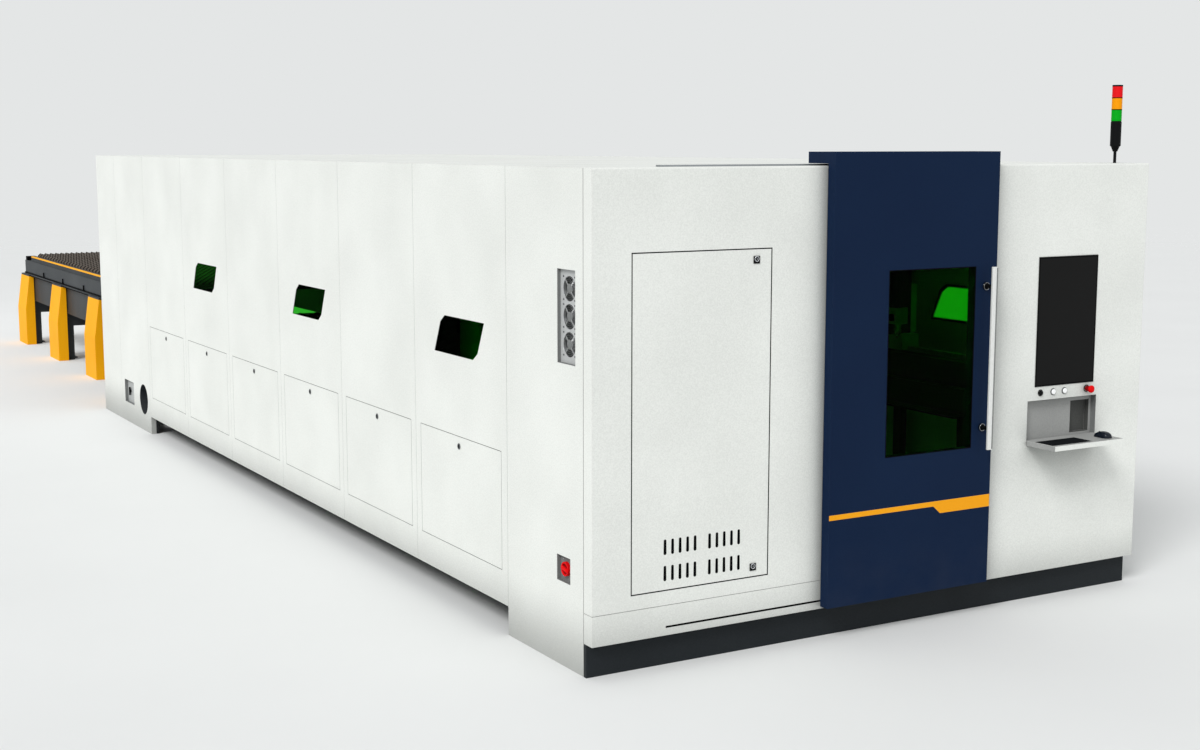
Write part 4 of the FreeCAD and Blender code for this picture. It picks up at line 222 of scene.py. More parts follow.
class Effect(Enum):
    """Surface effects that several finishes share, each one shader node group."""

    EDGE = "rounded_edge"
    GRAIN = "coat_grain"
    DUST = "settled_dust"
    BRUSH = "brush_lines"
    SMEAR = "wiped_smears"
    CONTACT = "contact_shade"

    def tree(self) -> bpy.types.NodeTree:
        """The group's tree, built the first time that it is asked for.

        Returns:
            The tree, with its inputs and outputs.
        """
        known = bpy.data.node_groups.get(self.value)
        if known:
            return known
        tree = bpy.data.node_groups.new(self.value, "ShaderNodeTree")
        build, inputs = {
            Effect.EDGE: (self._edge, {"Radius": 0.002}),
            Effect.GRAIN: (self._grain, {"Scale": 400.0}),
            Effect.DUST: (self._dust, {"Reach": 0.5, "Amount": 0.3}),
            Effect.BRUSH: (self._brush, {"X": 1.0, "Y": 1.0, "Z": 1.0}),
            Effect.SMEAR: (self._smear, {"Scale": 3.0}),
            Effect.CONTACT: (self._contact, {"Distance": 0.35}),
        }[self]
        for name, default in inputs.items():
            socket = tree.interface.new_socket(name=name, in_out="INPUT", socket_type="NodeSocketFloat")
            socket.default_value = default
        graph = Graph(tree)
        results = build(graph, graph.node("NodeGroupInput").outputs)
        for name in results:
            kind = "NodeSocketVector" if name == "Normal" else "NodeSocketFloat"
            tree.interface.new_socket(name=name, in_out="OUTPUT", socket_type=kind)
        graph.fill(graph.node("NodeGroupOutput"), **results)
        return tree

    def _edge(self, graph: Graph, given: Sockets) -> Sockets:
        """Softens sharp edges and marks them.

        Args:
            graph: the group's nodes.
            given: its inputs.

        Returns:
            Mask and Normal.
        """
        soft = graph.fill(graph.node("ShaderNodeBevel", samples=4), Radius=given["Radius"]).outputs[0]
        flat = graph.node("ShaderNodeNewGeometry").outputs["Normal"]
        dot = graph.node("ShaderNodeVectorMath", soft, flat, operation="DOT_PRODUCT").outputs["Value"]
        return {"Mask": graph.spread(dot, 0.995, 0.85, 0.0, 1.0), "Normal": soft}

    def _grain(self, graph: Graph, given: Sockets) -> Sockets:
        """The fine bumps of a sprayed coat and its slow drift in tone.

        Args:
            graph: the group's nodes.
            given: its inputs.

        Returns:
            Height and Mottle.
        """
        speck = graph.noise(graph.math("MULTIPLY", given["Scale"], 0.4), 3.0)
        drift = graph.math("MULTIPLY", graph.noise(1.7, 2.0), 0.4)
        blend = graph.math("MULTIPLY_ADD", speck, 0.6, drift)
        mottle = graph.spread(blend, 0.36, 0.64, 0.0, 1.0)
        return {"Height": graph.noise(given["Scale"], 2.0), "Mottle": mottle}

    def _dust(self, graph: Graph, given: Sockets) -> Sockets:
        """Dust that lies on upward faces and near the floor.

        Args:
            graph: the group's nodes.
            given: its inputs.

        Returns:
            Mask.
        """
        height = graph.node("ShaderNodeSeparateXYZ", graph.place()).outputs["Z"]
        normal = graph.node("ShaderNodeNewGeometry").outputs["Normal"]
        facing = graph.node("ShaderNodeSeparateXYZ", normal).outputs["Z"]
        low = graph.spread(height, 0.0, given["Reach"], 1.0, 0.0)
        top = graph.spread(facing, 0.6, 1.0, 0.0, 0.7)
        patch = graph.spread(graph.noise(6.0, 5.0), 0.35, 0.7, 0.0, 1.0)
        both = graph.math("MULTIPLY", graph.math("MAXIMUM", low, top), patch)
        return {"Mask": graph.math("MULTIPLY", both, given["Amount"])}

    def _brush(self, graph: Graph, given: Sockets) -> Sockets:
        """Brush or roll lines, fine across and long along the three scales given.

        Args:
            graph: the group's nodes.
            given: its inputs.

        Returns:
            Value.
        """
        stretch = graph.node("ShaderNodeCombineXYZ", given["X"], given["Y"], given["Z"]).outputs[0]
        spot = graph.node("ShaderNodeVectorMath", graph.place(), stretch, operation="MULTIPLY").outputs[0]
        return {"Value": graph.noise(1.0, 3.0, spot)}

    def _smear(self, graph: Graph, given: Sockets) -> Sockets:
        """Faint wiping marks and finger grease on glass and plastic.

        Args:
            graph: the group's nodes.
            given: its inputs.

        Returns:
            Value.
        """
        broad = graph.spread(graph.noise(given["Scale"], 6.0), 0.45, 0.75, 0.0, 1.0)
        fine = graph.noise(graph.math("MULTIPLY", given["Scale"], 9.0), 2.0)
        return {"Value": graph.math("MULTIPLY", broad, fine)}

    def _contact(self, graph: Graph, given: Sockets) -> Sockets:
        """Painted shade where parts stand close to one another: Mask."""
        near = graph.fill(graph.node("ShaderNodeAmbientOcclusion", samples=6), Distance=given["Distance"])
        return {"Mask": graph.spread(near.outputs["AO"], 0.97, 0.6, 0.0, 1.0)}


# ---------------------------------------------------------------------------
# Finishes
# ---------------------------------------------------------------------------

@dataclass(frozen=True)
class Finish:
    """What every finish has: a name, a record slot, a colour and a roughness."""

    name: str
    slot: str
    colour: str
    roughness: float

    def material(self) -> bpy.types.Material:
        """The Blender material, built the first time that it is asked for.

        Returns:
            The material.
        """
        known = bpy.data.materials.get(self.name)
        if known:
            return known
        made = bpy.data.materials.new(self.name)
        made.use_nodes = True
        made.diffuse_color = srgb(self.colour)
        self.wire(Graph(made.node_tree), made.node_tree.nodes["Principled BSDF"])
        return made

    def wire(self, graph: Graph, shader: bpy.types.Node) -> None:
        """Joins the finish's own nodes to the shader."""
        raise NotImplementedError


@dataclass(frozen=True)
class PowderCoat(Finish):
    """Sprayed and baked coat on sheet metal, with orange peel, soft edges and floor dust."""

    shade: str = "CFD1CC"
    grain: float = 420.0
    depth: float = 0.12
    dust: float = 0.25
    edge: float = 0.0015
    worn: str = "F4F4F2"
    wear: float = 0.25
    gloss: float = 0.5
    contact: float = 0.0

    def wire(self, graph: Graph, shader: bpy.types.Node) -> None:
        """Colour drifts with the coat, bumps follow its grain, edges are a little rubbed.

        Args:
            graph: the material's nodes.
            shader: its shader.
        """
        coat = graph.group(Effect.GRAIN, Scale=self.grain)
        edge = graph.group(Effect.EDGE, Radius=self.edge)
        dust = graph.group(Effect.DUST, Amount=self.dust)["Mask"]
        tone = graph.mix(coat["Mottle"], srgb(self.colour), srgb(self.shade))
        # painted shade: the coat turns greyer where other parts stand close
        if self.contact:
            near = graph.math("MULTIPLY", graph.group(Effect.CONTACT)["Mask"], self.contact)
            tone = graph.mix(near, tone, srgb("8C8E8B"))
        rubbed = graph.mix(graph.math("MULTIPLY", edge["Mask"], self.wear), tone, srgb(self.worn))
        rough = graph.spread(coat["Mottle"], 0.0, 1.0, self.roughness - 0.04, self.roughness + 0.06)
        graph.fill(
            shader, Specular_IOR_Level=self.gloss, Base_Color=graph.mix(dust, rubbed, srgb("B9B3A6")),
            Roughness=graph.math("MULTIPLY_ADD", dust, 0.35, rough),
        )
        graph.bump(shader, coat["Height"], edge, self.depth, 0.2 * MM)


@dataclass(frozen=True)
class Metal(Finish):
    """Bare metal with brush or mill lines, and stains where asked for."""

    lines: tuple[float, float, float] = (40.0, 900.0, 900.0)
    stain: str = "4A3A30"
    stained: float = 0.0
    metallic: float = 1.0
    depth: float = 0.15
    edge: float = 0.0008

    def wire(self, graph: Graph, shader: bpy.types.Node) -> None:
        """Lines drive colour, roughness and bump; stains dull the metal.

        Args:
            graph: the material's nodes.
            shader: its shader.
        """
        line = graph.group(Effect.BRUSH, **dict(zip("XYZ", self.lines)))["Value"]
        edge = graph.group(Effect.EDGE, Radius=self.edge)
        tone = graph.mix(graph.spread(line, 0.3, 0.7, 0.0, 1.0), srgb(self.colour, 0.7), srgb(self.colour))
        patch = graph.spread(graph.noise(5.0, 8.0), 0.62 - 0.3 * self.stained, 0.75, 0.0, self.stained)
        stained = graph.mix(patch, tone, srgb(self.stain))
        rough = graph.spread(line, 0.2, 0.8, self.roughness - 0.08, self.roughness + 0.08)
        graph.fill(
            shader, Base_Color=graph.mix(edge["Mask"], stained, srgb(self.colour, 1.6)),
            Metallic=graph.spread(patch, 0.0, 1.0, self.metallic, self.metallic * 0.4),
            Roughness=graph.math("MULTIPLY_ADD", patch, 0.3, rough),
        )
        graph.bump(shader, line, edge, self.depth, 0.1 * MM)


@dataclass(frozen=True)
class Moulded(Finish):
    """Moulded plastic or rubber with a spark-eroded grain and handling marks."""

    grain: float = 1500.0
    depth: float = 0.2
    glow: float = 0.0
    gloss: float = 0.06

    def wire(self, graph: Graph, shader: bpy.types.Node) -> None:
        """Fine grain in the bump, faint smears in the roughness, a glow for the lamp lenses, and a painted
        glow on the white button caps.

        Args:
            graph: the material's nodes.
            shader: its shader.
        """
        grain = graph.group(Effect.GRAIN, Scale=self.grain)
        smear = graph.group(Effect.SMEAR, Scale=9.0)["Value"]
        edge = graph.group(Effect.EDGE, Radius=0.0008)
        drift = graph.math("MULTIPLY", grain["Mottle"], 0.35)
        tone = graph.mix(drift, srgb(self.colour), srgb(self.colour, 0.85, 0.004))
        rough = graph.math("MULTIPLY_ADD", smear, 0.2, self.roughness)
        graph.fill(shader, Base_Color=tone, Roughness=rough, Specular_IOR_Level=self.gloss)
        # the lenses glow as lamps; on the white button caps the glow is painted light
        if self.glow:
            graph.fill(shader, Emission_Color=tone, Emission_Strength=self.glow)
        graph.bump(shader, grain["Height"], edge, self.depth, 0.05 * MM)


@dataclass(frozen=True)
class Pane(Finish):
    """Tinted laser-safe glass with faint wiping marks."""

    ior: float = 1.05

    def wire(self, graph: Graph, shader: bpy.types.Node) -> None:
        """Clear through the body, with a tint that drifts a little and smears on the face.

        Args:
            graph: the material's nodes.
            shader: its shader.
        """
        smear = graph.group(Effect.SMEAR, Scale=4.0)["Value"]
        tint = graph.mix(graph.noise(2.0, 1.0), srgb(self.colour), srgb(self.colour, 0.8))
        rough = graph.math("MULTIPLY_ADD", smear, 0.05, self.roughness)
        graph.fill(shader, Base_Color=tint, Transmission_Weight=1.0, IOR=self.ior, Roughness=rough)


# the white coat takes painted shade near close parts, through contact
WHITE = PowderCoat(
    "white_powder_coat", "white_paint", "EBEDE8", 0.45, shade="DCDED9", dust=0.05, gloss=0.3, contact=0.8,
)
NAVY = PowderCoat(
    "navy_powder_coat", "navy_paint", "11233E", 0.45, shade="0F1F39", dust=0.02, worn="2A3F62", wear=0.5,
    gloss=0.05,
)
CHARCOAL = PowderCoat(
    "charcoal_powder_coat", "charcoal_paint", "25292C", 0.5, shade="202427", dust=0.0, worn="4A4F52",
    wear=0.5, gloss=0.1,
)
GREY = PowderCoat(
    "grey_powder_coat", "grey_paint", "323639", 0.5, shade="2C3033", dust=0.04, worn="5A5E61", wear=0.4,
    gloss=0.15,
)
FRAME_GREY = PowderCoat("frame_grey_coat", "grey_paint", "26282A", 0.5, shade="212325", dust=0.0, gloss=0.1)
# painted shade: these greys darken the niche, the mouse pocket, the tray and the recesses in the left side,
# where shade falls; the recess grey is also the own grey of the fan hubs
SHADE_LINER = PowderCoat("painted_shade_liner", "grey_paint", "A3A4A2", 0.5, shade="959694", dust=0.0, gloss=0.2)
RECESS_GREY_AND_SHADE = PowderCoat("recess_grey_and_painted_shade", "grey_paint", "7E807F", 0.5, shade="727473", dust=0.0, gloss=0.15)
POCKET_SHADE = PowderCoat("pocket_painted_shade", "grey_paint", "545553", 0.5, shade="484947", dust=0.0, gloss=0.1)
PALE_GREY = PowderCoat(
    "pale_grey_coat", "grey_paint", "B4B7B6", 0.45, shade="A9ACAB", dust=0.1, worn="D8DAD9",
)
FAN_PLATE = PowderCoat(
    "fan_plate_coat", "grey_paint", "BDBFBE", 0.4, shade="ABADAC", dust=0.0, worn="E6E8E7", gloss=0.3,
)
ORANGE = PowderCoat(
    "orange_powder_coat", "orange_paint", "F7B014", 0.5, shade="F1A60C", dust=0.0, worn="FFC85A", wear=0.4,
    gloss=0.05,
)
STRIPE = PowderCoat(
    "orange_vinyl", "orange_paint", "F5A61F", 0.45, shade="F0A01A", dust=0.0, depth=0.03, gloss=0.05,
)
SWITCHGEAR = PowderCoat("switchgear_coat", "switchgear_grey", "9EA2A5", 0.45, shade="93979A", dust=0.1)
STEEL = Metal("ground_steel", "steel", "A3A7AA", 0.35, lines=(900.0, 30.0, 900.0))
SLAT_STEEL = Metal(
    "worn_slat_steel", "slat_steel", "857C73", 0.55, lines=(60.0, 400.0, 700.0), stain="5E4E42",
    stained=0.5, metallic=0.2, edge=0.003,
)
BURNT_STEEL = Metal(
    "scorched_slat_steel", "slat_steel", "3A342F", 0.65, lines=(60.0, 400.0, 700.0), stain="2A211B",
    stained=0.6, metallic=0.2,
)
HANDLE_METAL = Metal(
    "brushed_aluminium", "handle_metal", "F1F2EF", 0.42, lines=(1200.0, 1200.0, 40.0), metallic=0.1,
    depth=0.05,
)
LOCK_METAL = Metal("satin_chrome", "lock_metal", "C8CBCE", 0.25, lines=(500.0, 500.0, 500.0), depth=0.05)
DARK_METAL = Metal(
    "dark_zinc", "lock_metal", "55585B", 0.5, lines=(600.0, 600.0, 600.0), metallic=0.5, depth=0.05,
)
FAN_METAL = Metal("zinc_plated_steel", "fan_metal", "D6D9DB", 0.35, lines=(700.0, 700.0, 300.0), depth=0.05)
COPPER = Metal(
    "nozzle_copper", "steel", "B8703F", 0.25, lines=(900.0, 900.0, 200.0), stain="5A3A2A", stained=0.3,
)
BLACK = Moulded("moulded_black", "black_plastic", "08090A", 0.5, gloss=0.08)
RUBBER = Moulded("black_rubber", "black_plastic", "040405", 0.65, grain=900.0, depth=0.35, gloss=0.02)
SCREEN_FRAME = Moulded("screen_frame_plastic", "screen_plastic", "0B0B0C", 0.5, gloss=0.03)
SCREEN_GLASS = Moulded("screen_glass", "screen_plastic", "191919", 0.35, depth=0.0, gloss=0.04)
# painted light: the white button caps glow a little, though they are no lamps
WHITE_CAP = Moulded("white_button_plastic", "white_plastic", "F6F7F7", 0.35, glow=0.08, gloss=0.2)
RED = Moulded("moulded_red", "red_plastic", "E00C10", 0.45)
DARK_RED = Moulded("dark_red_plastic", "red_plastic", "8A080C", 0.5)
BLUE = Moulded("dark_blue_plastic", "blue_plastic", "060F1C", 0.3, gloss=0.25)
KEYS = Moulded("moulded_keys", "keyboard_plastic", "1A1C1E", 0.7, gloss=0.0)
GREEN_LENS = Moulded("green_cover", "green_lens", "00A01A", 0.5, glow=0.05, depth=0.05)
AMBER_LENS = Moulded("amber_cover", "amber_lens", "EC9606", 0.5, glow=0.05, depth=0.05)
RED_LENS = Moulded("red_cover", "red_lens", "DC161C", 0.5, glow=0.05, depth=0.05)
LASER_GLASS = Pane("laser_safe_glass", "laser_glass", "62E058", 0.02)
SIDE_GLASS = Pane("side_laser_glass", "laser_glass", "36BE30", 0.02, ior=1.01)


# ---------------------------------------------------------------------------
# Shapes
# ---------------------------------------------------------------------------

def node_box(name: str) -> tuple[Vector, Vector]:
    """Lowest and highest corner of a CAD node, in millimetres."""
    low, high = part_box(name)
    return low / MM, high / MM


def middle_of(name: str, **fixed: float) -> Vector:
    """Middle of a CAD node in millimetres.

    Args:
        name: the node.
        fixed: coordinates that are given instead, such as x.

    Returns:
        The point.
    """
    spot = sum(node_box(name), Vector()) / 2
    for axis, value in fixed.items():
        setattr(spot, axis, value)
    return spot


def standing(at: Vector, along: Vector) -> Matrix:
    """Matrix that puts the origin at a point and turns Z along a direction."""
    return Matrix.Translation(at) @ along.to_track_quat("Z", "Y").to_matrix().to_4x4()


def disc(radius: float, low: float, high: float) -> Profile:
    """Profile of a plain round disc between two heights."""
    return [(0, low), (radius, low), (radius, high), (0, high)]


@dataclass(frozen=True)
class Screw:
    """Head of a screw that is seen on the left side."""

    radius: float
    proud: float
    sides: int
    bevel: float
    finish: Finish


HEX_SCREW = Screw(4.5, 2.5, 6, 0.6, DARK_METAL)
PAN_SCREW = Screw(4.0, 2.0, 12, 0.5, FAN_METAL)


class Shape:
    """One piece in the making, in millimetres: shapes added with bmesh operators, each with its finish."""

    def __init__(self, *finishes: Finish) -> None:
        """Starts an empty mesh with its finishes, the first one being the default."""
        self.bm = bmesh.new()
        self.finishes = finishes

    def _round(self, verts: Verts, edges: Iterable[bmesh.types.BMEdge], radius: float, steps: int) -> Verts:
        """Bevels edges of a shape that was just made.

        Args:
            verts: the shape's vertices.
            edges: the edges to round.
            radius: their radius.
            steps: faces across each of them.

        Returns:
            The shape's vertices afterwards.
        """
        made = bmesh.ops.bevel(
            self.bm, geom=list(edges), offset=radius, offset_type="OFFSET", segments=steps, profile=0.5,
            affect="EDGES", clamp_overlap=True, material=-1,
        )
        return [v for v in verts if v.is_valid] + made["verts"]

    def _end(self, verts: Verts, finish: Finish | None, bevel: float = 0.0, steps: int = 2) -> Verts:
        """Turns the faces of a new shape outward, rounds its edges and paints it.

        Args:
            verts: the shape's vertices.
            finish: one of the piece's finishes, or None for the first.
            bevel: radius of its edges.
            steps: faces across each rounded edge.

        Returns:
            The shape's vertices afterwards.
        """
        bmesh.ops.recalc_face_normals(self.bm, faces=list({f for v in verts for f in v.link_faces}))
        if bevel:
            sharp = {e for v in verts for e in v.link_edges if e.calc_face_angle(0.0) > SHARP}
            verts = self._round(verts, sharp, bevel, steps)
        index = self.finishes.index(finish) if finish else 0
        for face in {f for v in verts for f in v.link_faces}:
            face.material_index = index
        return verts

    @staticmethod
    def _connected(first: bmesh.types.BMVert) -> Verts:
        """Walks along the edges of a shape.

        Args:
            first: the vertex to start from.

        Returns:
            Every vertex joined to it, itself included.
        """
        seen, queue = {first}, [first]
        while queue:
            fresh = {v for edge in queue.pop().link_edges for v in edge.verts} - seen
            seen |= fresh
            queue += fresh
        return list(seen)

    def box(
        self, low: Point, high: Point, bevel: float = 0.0, steps: int = 2, finish: Finish | None = None,
        turn: Matrix | None = None, origin: Point = (0, 0, 0),
    ) -> Verts:
        """Adds a block between two corners.

        Args:
            low: lowest corner.
            high: highest corner.
            bevel: radius of all its edges.
            steps: faces across each rounded edge.
            finish: one of the piece's finishes.
            turn: a turn about the block's own middle.
            origin: the point that both corners are measured from.

        Returns:
            The block's vertices.
        """
        a, b = Vector(low), Vector(high)
        place = Matrix.Translation(Vector(origin) + (a + b) / 2) @ (turn or Matrix.Identity(4))
        made = bmesh.ops.create_cube(self.bm, size=1.0, matrix=place @ Matrix.Diagonal((*(b - a), 1.0)))
        return self._end(made["verts"], finish, bevel, steps)

    def rod(
        self, start: Point, end: Point, radius: float, sides: int = 24, bevel: float = 0.0,
        finish: Finish | None = None,
    ) -> None:
        """Adds a round bar.

        Args:
            start: middle of its first end.
            end: middle of its other end.
            radius: its radius.
            sides: faces round it.
            bevel: radius of the edges of both ends.
            finish: one of the piece's finishes.
        """
        a, b = Vector(start), Vector(end)
        verts = bmesh.ops.create_cone(
            self.bm, cap_ends=True, cap_tris=False, segments=sides, radius1=radius, radius2=radius,
            depth=(b - a).length, matrix=standing((a + b) / 2, b - a),
        )["verts"]
        if bevel:
            ends = {e for v in verts for f in v.link_faces if len(f.verts) > 4 for e in f.edges}
            verts = self._round(verts, ends, bevel, 2)
        self._end(verts, finish)

    def screws(self, centre: Vector, across: float, up: float, kind: Screw) -> None:
        """Adds four screw heads round a point on the left side.

        Args:
            centre: the point.
            across: their distance from it along Y.
            up: their distance from it along Z.
            kind: their size and finish.
        """
        for side, rise in product((-1, 1), repeat=2):
            foot = centre + Vector((0, side * across, rise * up))
            head = foot + Side.LEFT.unit * kind.proud
            self.rod(foot, head, kind.radius, kind.sides, kind.bevel, kind.finish)

    def _spin(self, line: Verts, centre: Point, side: Side, steps: int, finish: Finish | None) -> None:
        """Turns a line of edges once round an axis into a closed shape.

        Args:
            line: vertices of the line.
            centre: a point on the axis.
            side: direction of the axis.
            steps: steps round it.
            finish: one of the piece's finishes.
        """
        geom = [*line, *{e for v in line for e in v.link_edges}]
        made = bmesh.ops.spin(
            self.bm, geom=geom, cent=Vector(centre), axis=side.unit, dvec=Vector(), angle=math.tau,
            steps=steps, use_merge=True, use_normal_flip=False, use_duplicate=False,
        )
        left = (v for v in made["geom_last"] + line if isinstance(v, bmesh.types.BMVert) and v.is_valid)
        verts = self._connected(next(left))
        bmesh.ops.remove_doubles(self.bm, verts=verts, dist=0.001)
        self._end([v for v in verts if v.is_valid], finish)

    def lathe(
        self, profile: Profile, centre: Point, side: Side, steps: int = 32, finish: Finish | None = None,
    ) -> None:
        """Turns a profile about an axis.

        Args:
            profile: pairs of radius and height; it starts and ends on the axis or meets itself.
            centre: point on the axis at height 0.
            side: direction in which the height grows.
            steps: steps round the axis.
            finish: one of the piece's finishes.
        """
        spot = standing(Vector(centre), side.unit)
        line = [self.bm.verts.new(spot @ Vector((radius, 0.0, height))) for radius, height in profile]
        for pair in zip(line, line[1:]):
            self.bm.edges.new(pair)
        self._spin(line, centre, side, steps, finish)

    def ring(
        self, centre: Point, side: Side, radius: float, wire: float, around: int = 8,
        finish: Finish | None = None,
    ) -> None:
        """Adds a round wire bent into a full circle.

        Args:
            centre: middle of the circle.
            side: direction of its axis.
            radius: radius of the circle.
            wire: radius of the wire.
            around: faces round the wire.
            finish: one of the piece's finishes.
        """
        across = side.unit.orthogonal().normalized()
        spot = standing(Vector(centre) + across * radius, across.cross(side.unit))
        made = bmesh.ops.create_circle(self.bm, cap_ends=False, segments=around, radius=wire, matrix=spot)
        self._spin(made["verts"], centre, side, 32, finish)

    def _raise(
        self, faces: Iterable[bmesh.types.BMFace], depth: float, bevel: float = 0.0,
        finish: Finish | None = None,
    ) -> None:
        """Raises flat faces along Y into a solid.

        Args:
            faces: the faces.
            depth: how far they are raised.
            bevel: radius of the solid's edges.
            finish: one of the piece's finishes.
        """
        made = bmesh.ops.extrude_face_region(self.bm, geom=list(faces))
        raised = [item for item in made["geom"] if isinstance(item, bmesh.types.BMVert)]
        bmesh.ops.translate(self.bm, verts=raised, vec=(0, depth, 0))
        self._end(self._connected(raised[0]), finish, bevel)

    def plate(self, corners: Sequence[Point], depth: float, finish: Finish | None = None) -> None:
        """Adds an outline in the XZ plane, raised along Y by a depth."""
        face = self.bm.faces.new([self.bm.verts.new(corner) for corner in corners])
        self._raise([face], depth, finish=finish)

    def frame(self, low: Point, high: Point, width: float, bevel: float = 0.0) -> None:
        """Adds a rectangular frame in the XZ plane, its thickness running along Y.

        Args:
            low: lowest corner.
            high: highest corner.
            width: width of its bars.
            bevel: radius of its edges.
        """
        outline = [(low[0], low[2]), (high[0], low[2]), (high[0], high[2]), (low[0], high[2])]
        face = self.bm.faces.new([self.bm.verts.new((x, low[1], z)) for x, z in outline])
        face.normal_update()
        rim = bmesh.ops.inset_region(
            self.bm, faces=[face], thickness=width, use_even_offset=True, use_boundary=True,
        )["faces"]
        bmesh.ops.delete(self.bm, geom=[face], context="FACES_ONLY")
        self._raise(rim, high[1] - low[1], bevel)

    def oval(self, low: Point, high: Point) -> None:
        """Adds an upright bar with half-round ends, seen along Y.

        Args:
            low: lowest corner.
            high: highest corner.
        """
        radius = (high[0] - low[0]) / 2
        centre = Vector((low[0] + radius, high[1], low[2] + radius))
        verts = bmesh.ops.create_circle(
            self.bm, cap_ends=True, segments=12, radius=radius, matrix=standing(centre, Side.FRONT.unit),
        )["verts"]
        upper = [v for v in verts if v.co.z > centre.z + 0.01]
        bmesh.ops.translate(self.bm, verts=upper, vec=(0, 0, high[2] - low[2] - 2 * radius))
        self._raise({f for v in verts for f in v.link_faces}, low[1] - high[1])

    def shade_walls(
        self, low: Point, high: Point, mouth: Side, thick: float, finish: Finish | None = None,
    ) -> None:
        """Covers the four walls of a box-shaped recess with thin sheets, which carry painted shade.

        Args:
            low: lowest corner of the recess.
            high: highest corner of the recess.
            mouth: side that it opens to.
            thick: thickness of the sheets.
            finish: one of the piece's finishes.
        """
        for axis in {0, 1, 2} - {mouth.axis}:
            near, far = list(low), list(high)
            near[axis] = high[axis] - thick
            far[axis] = low[axis] + thick
            self.box(low, far, finish=finish)
            self.box(near, high, finish=finish)

    def surround(
        self, low: Point, high: Point, gap: tuple[Point, Point], first: Side, second: Side,
    ) -> None:
        """Adds four blocks round a gap, two of full length and two between them.

        Args:
            low: lowest corner of the whole.
            high: highest corner of the whole.
            gap: lowest and highest corner of the gap.
            first: direction in which the full-length blocks lie beside the gap.
            second: direction in which the other two lie beside it.
        """
        near, far = list(low), list(high)
        for axis in (first.axis, second.axis):
            start, end = list(near), list(far)
            end[axis], start[axis] = gap[0][axis], gap[1][axis]
            self.box(near, end)
            self.box(start, far)
            near[axis], far[axis] = gap[0][axis], gap[1][axis]

    def piece(self, name: str, body: str, *stands_for: str, smooth: float = 35.0) -> None:
        """Ends the mesh and puts it on its body.

        Args:
            name: the piece's name.
            body: the CAD body that it rides on.
            stands_for: CAD nodes that it replaces.
            smooth: edges sharper than this angle in degrees stay sharp.
        """
        mesh = bpy.data.meshes.new(name)
        self.bm.transform(Matrix.Scale(MM, 4))
        self.bm.to_mesh(mesh)
        self.bm.free()
        for finish in self.finishes:
            mesh.materials.append(finish.material())
        mesh.shade_smooth()
        mesh.set_sharp_from_angle(angle=math.radians(smooth))
        made = bpy.data.objects.new(name, mesh)
        bpy.context.scene.collection.objects.link(made)
        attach(made, body)
        if stands_for:
            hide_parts(*stands_for)
        log.info("piece %s rides on %s, %d faces", name, body, len(mesh.polygons))


def dress(finish: Finish, *nodes: str) -> None:
    """Gives CAD nodes a finish.

    Args:
        finish: the finish.
        nodes: names of CAD nodes.
    """
    for name in nodes:
        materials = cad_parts[name].data.materials
        materials.clear()
        materials.append(finish.material())
        log.info("node %s in %s", name, finish.name)


# ---------------------------------------------------------------------------
# Studio
# ---------------------------------------------------------------------------

@dataclass(frozen=True)
class Softbox:
    """A large round lamp that looks at a point, in metres and watts."""

    name: str
    at: Point
    aim: Point
    power: float
    size: float = 6.0


